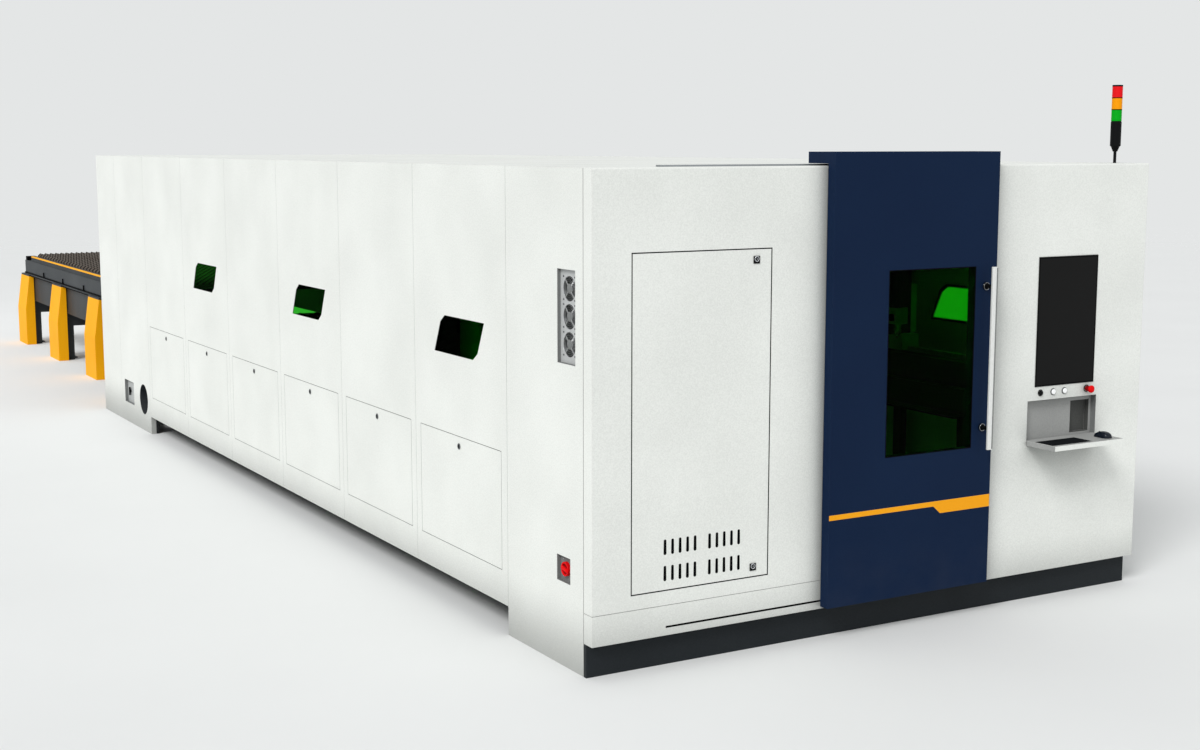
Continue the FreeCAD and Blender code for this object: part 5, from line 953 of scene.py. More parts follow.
@dataclass
class Studio:
    """Pale floor, soft light and the camera of the photograph, in metres."""

    lens: float = 49.674
    sensor: float = 36.0
    eye: Point = (-5.279, -6.3307, 2.4011)
    pitch: float = 82.055
    yaw: float = -29.97
    floor_half: float = 60.0
    floor_solid: float = 15.0
    floor_gone: float = 42.0
    floor_colour: str = "E6E7E6"
    sky: float = 0.6
    backdrop: str = "E4E6E6"
    key: float = 2.06
    key_from: Point = (-0.66, -0.43, 0.7)
    key_angle: float = 24.0
    softboxes: tuple[Softbox, ...] = (
        Softbox("front_softbox", (3.5, -10.0, 5.5), (0.6, 0.0, 1.2), 90.0),
        Softbox("table_softbox", (-6.0, 16.0, 6.0), (0.0, 12.0, 0.8), 110.0),
    )

    def build(self) -> None:
        """Makes the camera, the floor, the world and the lamps."""
        self._camera()
        self._floor()
        self._world()
        self._lamps()

    @staticmethod
    def _show(name: str, data: bpy.types.ID) -> bpy.types.Object:
        """Puts a camera, a lamp or a mesh in the scene.

        Args:
            name: the object's name.
            data: what it shows.

        Returns:
            The object.
        """
        made = bpy.data.objects.new(name, data)
        bpy.context.scene.collection.objects.link(made)
        return made

    def _camera(self) -> None:
        """Camera at the photograph's place."""
        data = bpy.data.cameras.new("photo_camera")
        data.lens = self.lens
        data.sensor_width = self.sensor
        data.clip_end = 200.0
        camera = self._show("photo_camera", data)
        camera.location = self.eye
        camera.rotation_euler = (math.radians(self.pitch), 0.0, math.radians(self.yaw))
        bpy.context.scene.camera = camera
        bpy.context.scene.view_settings.view_transform = "Standard"

    def _floor(self) -> None:
        """Wide pale floor that fades into the backdrop far from the machine."""
        mesh = bpy.data.meshes.new("studio_floor")
        bm = bmesh.new()
        bmesh.ops.create_grid(bm, x_segments=1, y_segments=1, size=self.floor_half)
        bm.to_mesh(mesh)
        bm.free()
        made = bpy.data.materials.new("studio_floor")
        made.use_nodes = True
        graph = Graph(made.node_tree)
        patch = graph.spread(graph.noise(0.6, 4.0), 0.3, 0.7, 0.0, 0.35)
        reach = graph.node("ShaderNodeVectorMath", graph.place(), operation="LENGTH").outputs["Value"]
        graph.fill(
            made.node_tree.nodes["Principled BSDF"], Roughness=0.85, Specular_IOR_Level=0.2,
            Base_Color=graph.mix(patch, srgb(self.floor_colour), srgb("DFE0DF")),
            Alpha=graph.spread(reach, self.floor_solid, self.floor_gone, 1.0, 0.0),
        )
        mesh.materials.append(made)
        self._show("studio_floor", mesh)

    def _world(self) -> None:
        """Even sky: pale to the camera, through glass and in reflections, softer as light."""
        world = bpy.data.worlds.new("studio_world")
        world.use_nodes = True
        bpy.context.scene.world = world
        world.node_tree.nodes.clear()
        graph = Graph(world.node_tree)
        seen = graph.node("ShaderNodeLightPath").outputs
        direct = graph.math("MAXIMUM", seen["Is Camera Ray"], seen["Is Glossy Ray"])
        shown = graph.math("MAXIMUM", direct, seen["Is Transmission Ray"])
        light = graph.node("ShaderNodeBackground", srgb("F6F8FA"), self.sky).outputs[0]
        backdrop = graph.node("ShaderNodeBackground", srgb(self.backdrop), 1.0).outputs[0]
        mixed = graph.node("ShaderNodeMixShader", shown, light, backdrop).outputs[0]
        graph.node("ShaderNodeOutputWorld", mixed)

    def _lamps(self) -> None:
        """Broad, even light from the left, so that the long side is lit alike, and two soft lamps."""
        sun = bpy.data.lights.new("key_light", "SUN")
        sun.energy = self.key
        sun.angle = math.radians(self.key_angle)
        self._aim("key_light", sun, self.key_from, (0.0, 0.0, 0.0))
        for box in self.softboxes:
            data = bpy.data.lights.new(box.name, "AREA")
            data.shape = "DISK"
            data.size = box.size
            data.energy = box.power
            self._aim(box.name, data, box.at, box.aim)

    def _aim(self, name: str, data: bpy.types.Light, at: Point, aim: Point) -> None:
        """Places a lamp and turns it to a point.

        Args:
            name: the lamp's name.
            data: its light.
            at: where it hangs.
            aim: the point that it looks at.
        """
        lamp = self._show(name, data)
        lamp.location = at
        lamp.rotation_mode = "QUATERNION"
        lamp.rotation_quaternion = (Vector(aim) - Vector(at)).to_track_quat("-Z", "Y")


# ---------------------------------------------------------------------------
# Front, cabinet and sliding door
# ---------------------------------------------------------------------------

@dataclass
class FrontShell:
    """Front panels, doorway, cabinet door with its locks, and what the cabinet holds."""

    key_radius: float = 9.0
    key_slot: float = 2.4
    key_ring: float = 2.4
    louvre_first: tuple[float, float] = (-1332.0, 417.5)
    louvre_pitch: float = 41.0
    louvre_bank: float = 244.5
    louvre_row: float = 123.5
    louvre_size: tuple[float, float] = (8.0, 65.0)
    rim: float = 3.6
    seal: float = 5.0
    seal_gap: float = 0.5
    slot_low: Point = (-1321.5, -73.0, 191.5)
    slot_high: Point = (584.0, -71.0, 200.5)

    def build(self) -> None:
        """Adds lock inserts, louvre inserts and the seal round the cabinet door."""
        self._lock("cabinet_lock_lower", "lower_lock")
        self._lock("cabinet_lock_upper", "upper_lock")
        self._louvres()
        low, high = node_box("cabinet_door")
        reach = self.seal_gap + self.seal
        seal = Shape(RUBBER)
        seal.frame(
            (low.x - reach, low.y - 0.3, low.z - reach), (high.x + reach, low.y + 1.5, high.z + reach),
            self.seal,
        )
        seal.box(self.slot_low, self.slot_high)
        seal.piece("cabinet_door_seal", "machine")

    def _lock(self, node: str, body: str) -> None:
        """A round key insert in a pale ring on a lock's plate.

        Args:
            node: the lock's CAD node.
            body: the body that turns.
        """
        middle = middle_of(node, y=node_box(node)[0].y)
        radius, half = self.key_radius, self.key_slot / 2
        insert = Shape(LOCK_METAL, BLACK)
        insert.ring(middle, Side.BACK, radius + self.key_ring, self.key_ring)
        profile = [(0, 0), (radius, 0), (radius, 0.4), (radius * 0.8, 1.2), (0, 1.2)]
        insert.lathe(profile, middle, Side.FRONT, finish=BLACK)
        insert.box((-half, -1.8, -radius / 2), (half, -1.1, radius / 2), origin=middle)
        insert.piece(node + "_insert", body)

    def _louvres(self) -> None:
        """A moulded black insert in every ventilation slot of the cabinet door."""
        face = node_box("cabinet_door")[0].y
        inserts = Shape(RUBBER)
        width, height = (size + self.rim for size in self.louvre_size)
        for row, bank, slot in product(range(2), range(2), range(5)):
            x = self.louvre_first[0] + bank * self.louvre_bank + slot * self.louvre_pitch
            z = self.louvre_first[1] + row * self.louvre_row
            inserts.oval((x - self.rim, face - 0.5, z - self.rim), (x + width, face + 1.5, z + height))
        inserts.piece("louvre_inserts", "cabinet_door_leaf")

    def dress(self) -> None:
        """Finishes of the CAD nodes."""
        dress(WHITE, "front_left_panel", "front_lower_panel", "front_right_panel", "doorway_frame")
        dress(WHITE, "cabinet_door")
        dress(CHARCOAL, "plinth")
        dress(BLACK, "cabinet_lock_lower", "cabinet_lock_upper")
        dress(PALE_GREY, "cabinet_walls")
        dress(SWITCHGEAR, "switchgear")


@dataclass
class SlidingDoor:
    """Navy door with its window, handle, stripe and flag."""

    stripe: tuple[float, float] = (605.0, 630.5)
    flag: tuple[float, float] = (216.0, 261.0)
    flag_low: float = 566.5
    film: float = 0.6
    margin: float = 1.0
    gasket: float = 5.0
    handle_feet: tuple[float, float] = (982.0, 1697.0)
    sleeve: Profile = (
        (9.2, 0), (19.4, 0), (19.4, 8.6), (18.6, 9.4), (11.5, 9.4), (10.2, 11), (10.2, 53), (9.2, 53),
        (9.2, 0),
    )

    def build(self) -> None:
        """Adds stripe and flag, the window gasket and the sleeves of the handle."""
        low, high = node_box("door_panel")
        left, right = low.x + self.margin, high.x - self.margin
        outline = (
            (left, self.stripe[0]), (self.flag[0], self.stripe[0]), (self.flag[1], self.flag_low),
            (right, self.flag_low), (right, self.stripe[1]), (left, self.stripe[1]),
        )
        stripe = Shape(STRIPE)
        stripe.plate([(x, low.y, z) for x, z in outline], -self.film)
        stripe.piece("door_stripe", "sliding_door")

        pane_low, pane_high = node_box("door_window")
        seal = Shape(RUBBER)
        seal.frame(
            (pane_low.x, low.y - 1, pane_low.z), (pane_high.x, pane_low.y - 0.2, pane_high.z),
            self.gasket, bevel=0.8,
        )
        seal.piece("door_window_gasket", "sliding_door")
        self._sleeves(low.y)

    def _sleeves(self, face: float) -> None:
        """Black sleeves with a bright ring on the handle's feet, and a grey strip along its bar: painted
        shade on the bar's rounded right side.

        Args:
            face: Y of the door's front.
        """
        low, high = node_box("door_handle")
        sleeves = Shape(BLACK, LOCK_METAL, RECESS_GREY_AND_SHADE)
        for height in self.handle_feet:
            centre = middle_of("door_handle", y=face, z=height)
            sleeves.lathe(self.sleeve, centre, Side.FRONT)
            sleeves.ring(centre + Side.FRONT.unit * 9.2, Side.BACK, 18, 0.8, finish=LOCK_METAL)
        # painted shade: a grey strip darkens the right part of the bar's face
        sleeves.box(
            (high.x - 11, low.y - 0.4, low.z + 4), (high.x - 3, low.y + 0.2, high.z - 4), finish=RECESS_GREY_AND_SHADE,
        )
        sleeves.piece("handle_sleeves_and_shade", "sliding_door")

    def dress(self) -> None:
        """Finishes of the CAD nodes."""
        dress(NAVY, "door_panel")
        dress(LASER_GLASS, "door_window")
        dress(HANDLE_METAL, "door_handle")
        dress(STEEL, "door_track")
        dress(BLACK, "door_hangers")


# ---------------------------------------------------------------------------
# Console
# ---------------------------------------------------------------------------

@dataclass
class Console:
    """Monitor, buttons, keyboard tray with keyboard, and the mouse."""

    monitor_bezel: float = 9.0
    button_bezel: Profile = (
        (14.5, 0), (17.6, 0), (17.6, 1.0), (16.8, 2.2), (15.0, 2.2), (14.5, 1.8), (14.5, 0),
    )
    button_cap: Profile = (
        (0, -9), (10.8, -9), (10.8, 4.2), (13.8, 4.4), (14, 4.8), (14, 6.2), (13, 7.4), (11, 8.0), (5, 7.6),
        (0, 7.3),
    )
    stop_collar: Profile = (
        (15.5, 0), (19.4, 0), (19.4, 1.6), (18.4, 2.6), (16, 2.6), (15.5, 2.2), (15.5, 0),
    )
    stop_neck: Profile = ((0, -12), (10.8, -12), (10.8, 6.2), (14.6, 6.4), (15, 7), (15, 31), (0, 31))
    stop_head: Profile = (
        (0, 30), (16.5, 30), (19, 31), (20, 33.5), (20, 37.5), (18.8, 41), (15.5, 44), (10, 45.6), (0, 46),
    )
    key_pitch: float = 19.0
    key_gap: float = 2.2
    key_rise: float = 2.0
    key_crown: float = 0.82
    rows: tuple[tuple[float, ...], ...] = (
        (1.25, 1.25, 1.25, 6.25, 1.25, 1.25, 1.5),
        (2.25,) + (1.0,) * 10 + (1.75,),
        (1.75,) + (1.0,) * 11 + (1.25,),
        (1.5,) + (1.0,) * 11 + (1.5,),
        (1.0,) * 14,
        (1.0,) * 14,
    )
    mouse_square: float = 3.4
    mouse_waist: float = 0.25
    mouse_sole: float = 0.06
    mouse_slope: float = 0.4
    niche: tuple[tuple[float, float], tuple[float, float]] = ((894.0, 841.0), (1390.0, 1075.0))
    pocket: tuple[Point, Point] = ((1240.0, -36.5, 876.0), (1376.0, -6.5, 1048.0))
    film: float = 0.5
    shade_edge: float = 2.0
    shade_back: float = 16.0

    def build(self) -> None:
        """Makes all pieces of the console."""
        self._monitor()
        self._buttons()
        self._keyboard()
        self._mouse()
        self._niche()
        self._tray_shade()

    def _monitor(self) -> None:
        """A thin dark frame round one pane of dark glass."""
        low, high = node_box("monitor")
        inner = self.monitor_bezel - 1
        front = Shape(SCREEN_FRAME, SCREEN_GLASS)
        front.frame(low, (high.x, low.y + 3, high.z), self.monitor_bezel, bevel=1.2)
        front.box(
            (low.x + inner, low.y + 0.8, low.z + inner), (high.x - inner, high.y, high.z - inner),
            finish=SCREEN_GLASS,
        )
        front.piece("monitor_front", "machine", "monitor")

    def _buttons(self) -> None:
        """Bezels round the push buttons, domed caps, and the mushroom head of the stop."""
        panel = node_box("front_right_panel")[0].y
        bezels = Shape(DARK_METAL, BLACK)
        for name, body, finish, bezel in (
            ("black_button", "black_push", BLACK, BLACK),
            ("white_button_left", "left_white_push", WHITE_CAP, DARK_METAL),
            ("white_button_right", "right_white_push", WHITE_CAP, DARK_METAL),
        ):
            middle = middle_of(name, y=panel)
            bezels.lathe(self.button_bezel, middle, Side.FRONT, finish=bezel)
            cap = Shape(finish)
            cap.lathe(self.button_cap, middle, Side.FRONT)
            cap.piece(name + "_cap", body, name)
        middle = middle_of("emergency_stop", y=panel)
        bezels.lathe(self.stop_collar, middle, Side.FRONT, finish=BLACK)
        bezels.piece("button_bezels", "machine")
        stop = Shape(RED, DARK_RED)
        # painted shade: the neck under the head is a darker red than the head
        stop.lathe(self.stop_neck, middle, Side.FRONT, 40, DARK_RED)
        stop.lathe(self.stop_head, middle, Side.FRONT, 40)
        stop.piece("emergency_stop_head", "stop_push", "emergency_stop")

    def _keyboard(self) -> None:
        """Keyboard case with single key caps in six rows."""
        low, high = node_box("keyboard")
        top = high.z - self.key_rise
        gap, pitch = self.key_gap / 2, self.key_pitch
        board = Shape(KEYS, BLACK)
        board.box(low, (high.x, high.y, top), bevel=1.5, finish=BLACK)
        for row, widths in enumerate(self.rows):
            x = (low.x + high.x - sum(widths) * pitch) / 2
            y = (low.y + high.y - len(self.rows) * pitch) / 2 + row * pitch
            for width in widths:
                span = width * pitch
                verts = board.box((x + gap, y + gap, top), (x + span - gap, y + pitch - gap, high.z))
                crown = [v for v in verts if v.co.z > top + self.key_rise / 2]
                middle = sum((v.co for v in crown), Vector()) / len(crown)
                shrink = (1 - 3 / span, self.key_crown, 1)
                bmesh.ops.scale(board.bm, vec=shrink, verts=crown, space=Matrix.Translation(-middle))
                x += span
        board.piece("keyboard_keys", "tray", "keyboard")

    def _mouse(self) -> None:
        """Arched mouse with a wheel and a dark sole."""
        low, high = node_box("mouse")
        size = high - low
        body = Shape(BLUE, RUBBER)
        hull = bmesh.ops.create_uvsphere(body.bm, u_segments=28, v_segments=16, radius=1.0)["verts"]
        power = self.mouse_square
        for vert in hull:
            across, along, rise = vert.co
            out = max(math.hypot(along, across), 1e-6)
            square = (abs(along) ** power + abs(across) ** power) / out ** power + 1e-9
            full = out ** -self.mouse_waist * square ** (-1 / power)
            arch = max(rise, 0.0) ** 0.8 * (1 - self.mouse_slope * max(along, 0.0))
            vert.co.x, vert.co.y = (min(max(part * full, -1.0), 1.0) for part in (across, along))
            vert.co.z = self.mouse_sole + (1 - self.mouse_sole) * arch
        scale = Matrix.Diagonal((size.x / 2, size.y / 2, size.z, 1))
        place = Matrix.Translation(middle_of("mouse", z=low.z)) @ scale
        bmesh.ops.transform(body.bm, matrix=place, verts=hull)
        sole = (low.x + 8, low.y + 12, low.z), (high.x - 8, high.y - 12, low.z + 4)
        body.box(*sole, bevel=1, finish=RUBBER)
        wheel = middle_of("mouse", y=high.y - size.y * 0.26, z=low.z + size.z * 0.7)
        half = Side.RIGHT.unit * 3
        body.rod(wheel - half, wheel + half, 7, bevel=1, finish=RUBBER)
        body.piece("mouse_body", "tray", "mouse")

    def _niche(self) -> None:
        """Grey sheets of painted shade on the walls and back of the niche and of the mouse pocket, darkest
        in the pocket.
        """
        gap_low, gap_high = self.pocket
        low = (self.niche[0][0], node_box("front_right_panel")[0].y + 0.5, self.niche[0][1])
        high = (self.niche[1][0], gap_low[1], self.niche[1][1])
        niche = Shape(SHADE_LINER, RECESS_GREY_AND_SHADE, POCKET_SHADE)
        niche.shade_walls(low, high, Side.FRONT, self.film, RECESS_GREY_AND_SHADE)
        niche.surround((low[0], high[1] - self.film, low[2]), high, self.pocket, Side.RIGHT, Side.UP)
        niche.shade_walls(gap_low, gap_high, Side.FRONT, self.film, POCKET_SHADE)
        niche.box((gap_low[0], gap_high[1] - self.film, gap_low[2]), gap_high, finish=POCKET_SHADE)
        niche.piece("niche_painted_shade", "machine")

    def _tray_shade(self) -> None:
        """Grey sheet of painted shade on the tray's top, with a cutout for the keyboard, and a grey strip
        of painted shade on its left side.
        """
        low, high = node_box("keyboard_tray")
        hole_low, hole_high = node_box("keyboard")
        play = Vector((1, 1, 0))
        shade_sheet = Shape(SHADE_LINER)
        shade_sheet.surround(
            (low.x + self.shade_edge, low.y + self.shade_edge, high.z - 0.2),
            (high.x - self.shade_edge, high.y - self.shade_back, high.z + self.film),
            (hole_low - play, hole_high + play), Side.RIGHT, Side.BACK,
        )
        # painted shade on the tray's left side
        shade_sheet.box((low.x - 0.4, low.y, low.z), (low.x, high.y, high.z - 1))
        shade_sheet.piece("tray_painted_shade", "tray")

    def dress(self) -> None:
        """Finishes of the CAD nodes."""
        dress(WHITE, "keyboard_tray")


@dataclass
class TowerLight:
    """Signal light on the roof: ribbed lenses over a black base."""

    ribs: int = 9
    rib_depth: float = 0.9
    pole: float = 8.0
    pole_height: float = 61.0
    body: float = 28.0
    spacer: float = 27.6
    sides: int = 40

    def build(self) -> None:
        """Makes the column and one ribbed lens for each colour."""
        low, high = node_box("beacon_base")
        middle = middle_of("beacon_base", z=0.0)
        boxes = [node_box(name) for name in ("beacon_green", "beacon_amber", "beacon_red")]
        first = boxes[0][0].z
        neck = low.z + self.pole_height
        column = Shape(BLACK)
        column.lathe(
            [
                (0, low.z), (self.pole + 1, low.z), (self.pole, low.z + 4), (self.pole, neck), (12, neck),
                (22.5, neck + 26), (self.body, neck + 30), (self.body, first - 5), (26.5, first - 4),
                (26.5, first - 1), (25, first), (0, first),
            ],
            middle, Side.UP, self.sides,
        )
        for lower, upper in zip(boxes, boxes[1:]):
            column.lathe(disc(self.spacer, lower[1].z, upper[0].z), middle, Side.UP, self.sides)
        top = boxes[-1][1].z
        cover = [(0, top), (self.spacer, top), (self.spacer, high.z - 2), (25, high.z), (0, high.z)]
        column.lathe(cover, middle, Side.UP, self.sides)
        column.piece("beacon_column", "machine", "beacon_base")
        self._lens("beacon_green", GREEN_LENS)
        self._lens("beacon_amber", AMBER_LENS)
        self._lens("beacon_red", RED_LENS)

    def _lens(self, name: str, finish: Finish) -> None:
        """One lens with ribs round it.

        Args:
            name: its CAD node.
            finish: its colour.
        """
        low, high = node_box(name)
        outer = (high.x - low.x) / 2
        inner = outer - self.rib_depth
        step = (high.z - low.z) / self.ribs
        profile = [(0, 0), (inner, 0)]
        for rib in range(self.ribs):
            wave = ((inner, 0.15), (outer, 0.35), (outer, 0.65), (inner, 0.85))
            profile += [(radius, (rib + part) * step) for radius, part in wave]
        profile += [(inner, high.z - low.z), (0, high.z - low.z)]
        lens = Shape(finish)
        lens.lathe(profile, middle_of(name, z=low.z), Side.UP, self.sides)
        lens.piece(name + "_lens", "machine", name)

    def dress(self) -> None:
        """All of it is made of pieces."""


# ---------------------------------------------------------------------------
# Sides, fans, switches
# ---------------------------------------------------------------------------

@dataclass
class SideWalls:
    """Side panels, windows, scrap flaps with their locks, roof, rear wall and frames."""

    mouth: float = -1712.5
    flaps: tuple[str, ...] = tuple(f"scrap_flap_{index}" for index in range(1, 7))
    lock_height: float = 858.0
    lock_ring: float = 14.0
    seal_and_shade_back: float = -1710.5
    seal_and_shade_depth: float = 4.0
    seal_and_shade_width: float = 3.0
    duct: tuple[float, float] = (7560.0, 266.0)
    duct_radius: tuple[float, float] = (123.0, 127.0)
    collar: float = 90.0

    def build(self) -> None:
        """Adds a winged lock to each flap, the seals round the flaps, which also carry painted shade in the
        gaps, and the duct's collar.
        """
        for index, name in enumerate(self.flaps, 1):
            face = node_box(name)[0].x
            centre = middle_of(name, x=face, z=self.lock_height)
            lock = Shape(DARK_METAL, BLACK)
            lock.ring(centre, Side.RIGHT, self.lock_ring, 1.6)
            lock.lathe([(0, 0), (12.6, 0), (12, 0.8), (0, 0.8)], centre, Side.LEFT)
            lock.box((-3.5, -2.5, -9), (-0.5, 2.5, 9), bevel=1, finish=BLACK, origin=centre)
            lock.piece(f"flap_{index}_lock_face", f"flap_{index}")
        self._seals_and_gap_shade()
        inner, outer = self.duct_radius
        collar = Shape(GREY)
        tube = [(outer, 0), (outer, self.collar), (inner, self.collar), (inner, 0), (outer, 0)]
        collar.lathe(tube, (self.mouth, *self.duct), Side.RIGHT, 64)
        collar.piece("duct_collar", "machine")

    def _seals_and_gap_shade(self) -> None:
        """Dark sponge strips behind the gaps round the flaps, which also stand in as painted shade so that
        the gaps read dark.
        """
        # seals that also carry painted shade: they darken the gaps round the flaps
        gap_seals_and_shade = Shape(RUBBER)
        width = self.seal_and_shade_width
        for name in self.flaps:
            low, high = node_box(name)
            gap_seals_and_shade.surround(
                (self.seal_and_shade_back, low.y - width, low.z - width),
                (self.seal_and_shade_back + self.seal_and_shade_depth, high.y + width, high.z + width),
                (low, high), Side.UP, Side.BACK,
            )
        gap_seals_and_shade.piece("flap_seals_and_gap_shade", "machine")

    def dress(self) -> None:
        """Finishes of the CAD nodes."""
        dress(
            WHITE, "left_side_panels", "left_front_panel", "left_rear_panels", "right_side_panels",
            "roof_panels", "rear_wall", *self.flaps,
        )
        dress(FRAME_GREY, "side_frames")
        dress(SIDE_GLASS, "side_windows")


@dataclass
class FanBank:
    """Grille plate with three guarded fans."""

    count: int = 3
    recess: tuple[Point, Point] = ((-1712.5, 74.0, 1417.0), (-1694.0, 241.0, 1845.0))
    rings: tuple[float, ...] = (32.0, 42.0, 52.0)
    wire: float = 0.6
    screw: float = 52.0
    blades: int = 7
    hub: float = 20.0
    tip: float = 53.0

    def build(self) -> None:
        """Makes grey sheets of painted shade on the recess walls, guards, screws and rotors."""
        face = node_box("fan_plate")[0].x
        shade_walls = Shape(RECESS_GREY_AND_SHADE)
        shade_walls.shade_walls(*self.recess, Side.LEFT, 0.5)
        shade_walls.piece("fan_recess_painted_shade", "machine")
        guards = Shape(FAN_METAL, RECESS_GREY_AND_SHADE, DARK_METAL)
        cover = [(0, 0), (self.hub + 2, 0), (self.hub + 2, 1.2), (self.hub, 2.4), (0, 2.8)]
        for index in range(1, self.count + 1):
            centre = middle_of(f"fan_rotor_{index}", x=face)
            for radius in self.rings:
                guards.ring(centre + Side.LEFT.unit * 2, Side.RIGHT, radius, self.wire, around=6)
            guards.screws(centre, self.screw, self.screw, HEX_SCREW)
            guards.lathe(cover, centre, Side.LEFT, finish=RECESS_GREY_AND_SHADE)
            self._rotor(index)
        guards.piece("fan_guards", "machine")

    def _rotor(self, index: int) -> None:
        """One rotor: hub and flat blades, which all stand upright in the same place.

        Args:
            index: number of the fan.
        """
        low, high = node_box(f"fan_rotor_{index}")
        centre = (low + high) / 2
        deep = Side.RIGHT.unit * (high.x - low.x)
        rotor = Shape(BLACK)
        rotor.rod(centre - deep / 2, centre + deep / 2, self.hub, bevel=2)
        half = deep.x * 0.42
        for _ in range(self.blades):
            verts = rotor.box((-half, -1, self.hub * 0.9), (half, 1, self.tip), origin=centre)
            long = {e for v in verts for e in v.link_edges if e.calc_length() > 0.9 * (self.tip - self.hub)}
            bmesh.ops.subdivide_edges(rotor.bm, edges=list(long), cuts=3, use_grid_fill=True)
        rotor.piece(f"fan_{index}_wheel", f"fan_{index}", f"fan_rotor_{index}")

    def dress(self) -> None:
        """Finish of the plate."""
        dress(FAN_PLATE, "fan_plate")


@dataclass
class RotarySwitches:
    """Red main switch near the corner and the black isolator in the rear recess."""

    mouth: float = -1712.5
    film: float = 0.5
    play: float = 0.6
    main_floor: float = -1693.0
    main_recess: tuple[tuple[float, float], tuple[float, float]] = ((125.0, 400.0), (252.0, 522.0))
    rear_floor: float = -1685.0
    rear_recess: tuple[tuple[float, float], tuple[float, float]] = ((7880.0, 170.0), (8185.0, 367.0))
    rim: Profile = ((26, 0), (34, 0), (34, 14), (32.5, 16), (27.5, 16), (26, 14), (26, 0))
    boss: Profile = ((0, 0), (13.6, 0), (13.6, 4), (12, 6), (0, 6))
    grip_tilt: float = 12.0

    def build(self) -> None:
        """Makes both switch plates and both turning handles."""
        self._main()
        self._rear()

    def _recess(self, floor: float, corners: tuple[Point, Point], finish: Finish) -> Shape:
        """Lays grey sheets of painted shade on the walls of a recess in the left side, and lays its floor.

        Args:
            floor: X of the recess's floor.
            corners: Y and Z of its lowest and highest corner.
            finish: finish of its floor.

        Returns:
            The sheets, still to be ended.
        """
        (y0, z0), (y1, z1) = corners
        film = self.film
        plate = Shape(RECESS_GREY_AND_SHADE, FAN_METAL, *({finish} - {RECESS_GREY_AND_SHADE}))
        plate.shade_walls((self.mouth, y0, z0), (floor, y1, z1), Side.LEFT, film)
        plate.box((floor - film, y0 + film, z0 + film), (floor - 0.05, y1 - film, z1 - film), finish=finish)
        return plate

    def _main(self) -> None:
        """Red dial with a raised wedge grip, in a recess whose walls and floor are grey with painted shade.
        """
        middle = middle_of("main_switch", x=self.main_floor)
        plate = self._recess(self.main_floor, self.main_recess, RECESS_GREY_AND_SHADE)
        plate.screws(middle, 39, 39, PAN_SCREW)
        plate.piece("main_switch_recess", "machine")
        knob = Shape(RED, DARK_RED)
        centre = middle + Side.LEFT.unit * self.play
        knob.lathe(self.rim, centre, Side.LEFT, 48)
        knob.lathe(disc(26.5, 0, 9), centre, Side.LEFT, finish=DARK_RED)
        knob.box(
            (-21, -29, -9), (-8, 29, 9), bevel=4, steps=3, origin=middle,
            turn=Matrix.Rotation(math.radians(self.grip_tilt), 4, "X"),
        )
        knob.piece("main_switch_knob", "switch_knob", "main_switch")

    def _rear(self) -> None:
        """Black lever on a small round base, in a recess whose walls are grey with painted shade."""
        low, high = node_box("rear_isolator")
        middle = middle_of("rear_isolator", x=self.rear_floor)
        plate = self._recess(self.rear_floor, self.rear_recess, PALE_GREY)
        plate.screws(middle + Side.LEFT.unit * self.film, 46, 70, PAN_SCREW)
        plate.piece("rear_isolator_recess", "machine")
        lever = Shape(BLACK)
        lever.lathe(self.boss, middle + Side.LEFT.unit * self.play, Side.LEFT)
        lever.box((low.x, middle.y - 8, low.z), (middle.x - 6, middle.y + 8, high.z), bevel=3, steps=3)
        lever.piece("rear_isolator_lever", "isolator_knob", "rear_isolator")

    def dress(self) -> None:
        """Both switches are pieces of their own."""


# ---------------------------------------------------------------------------
# Bed, gantry and head
# ---------------------------------------------------------------------------

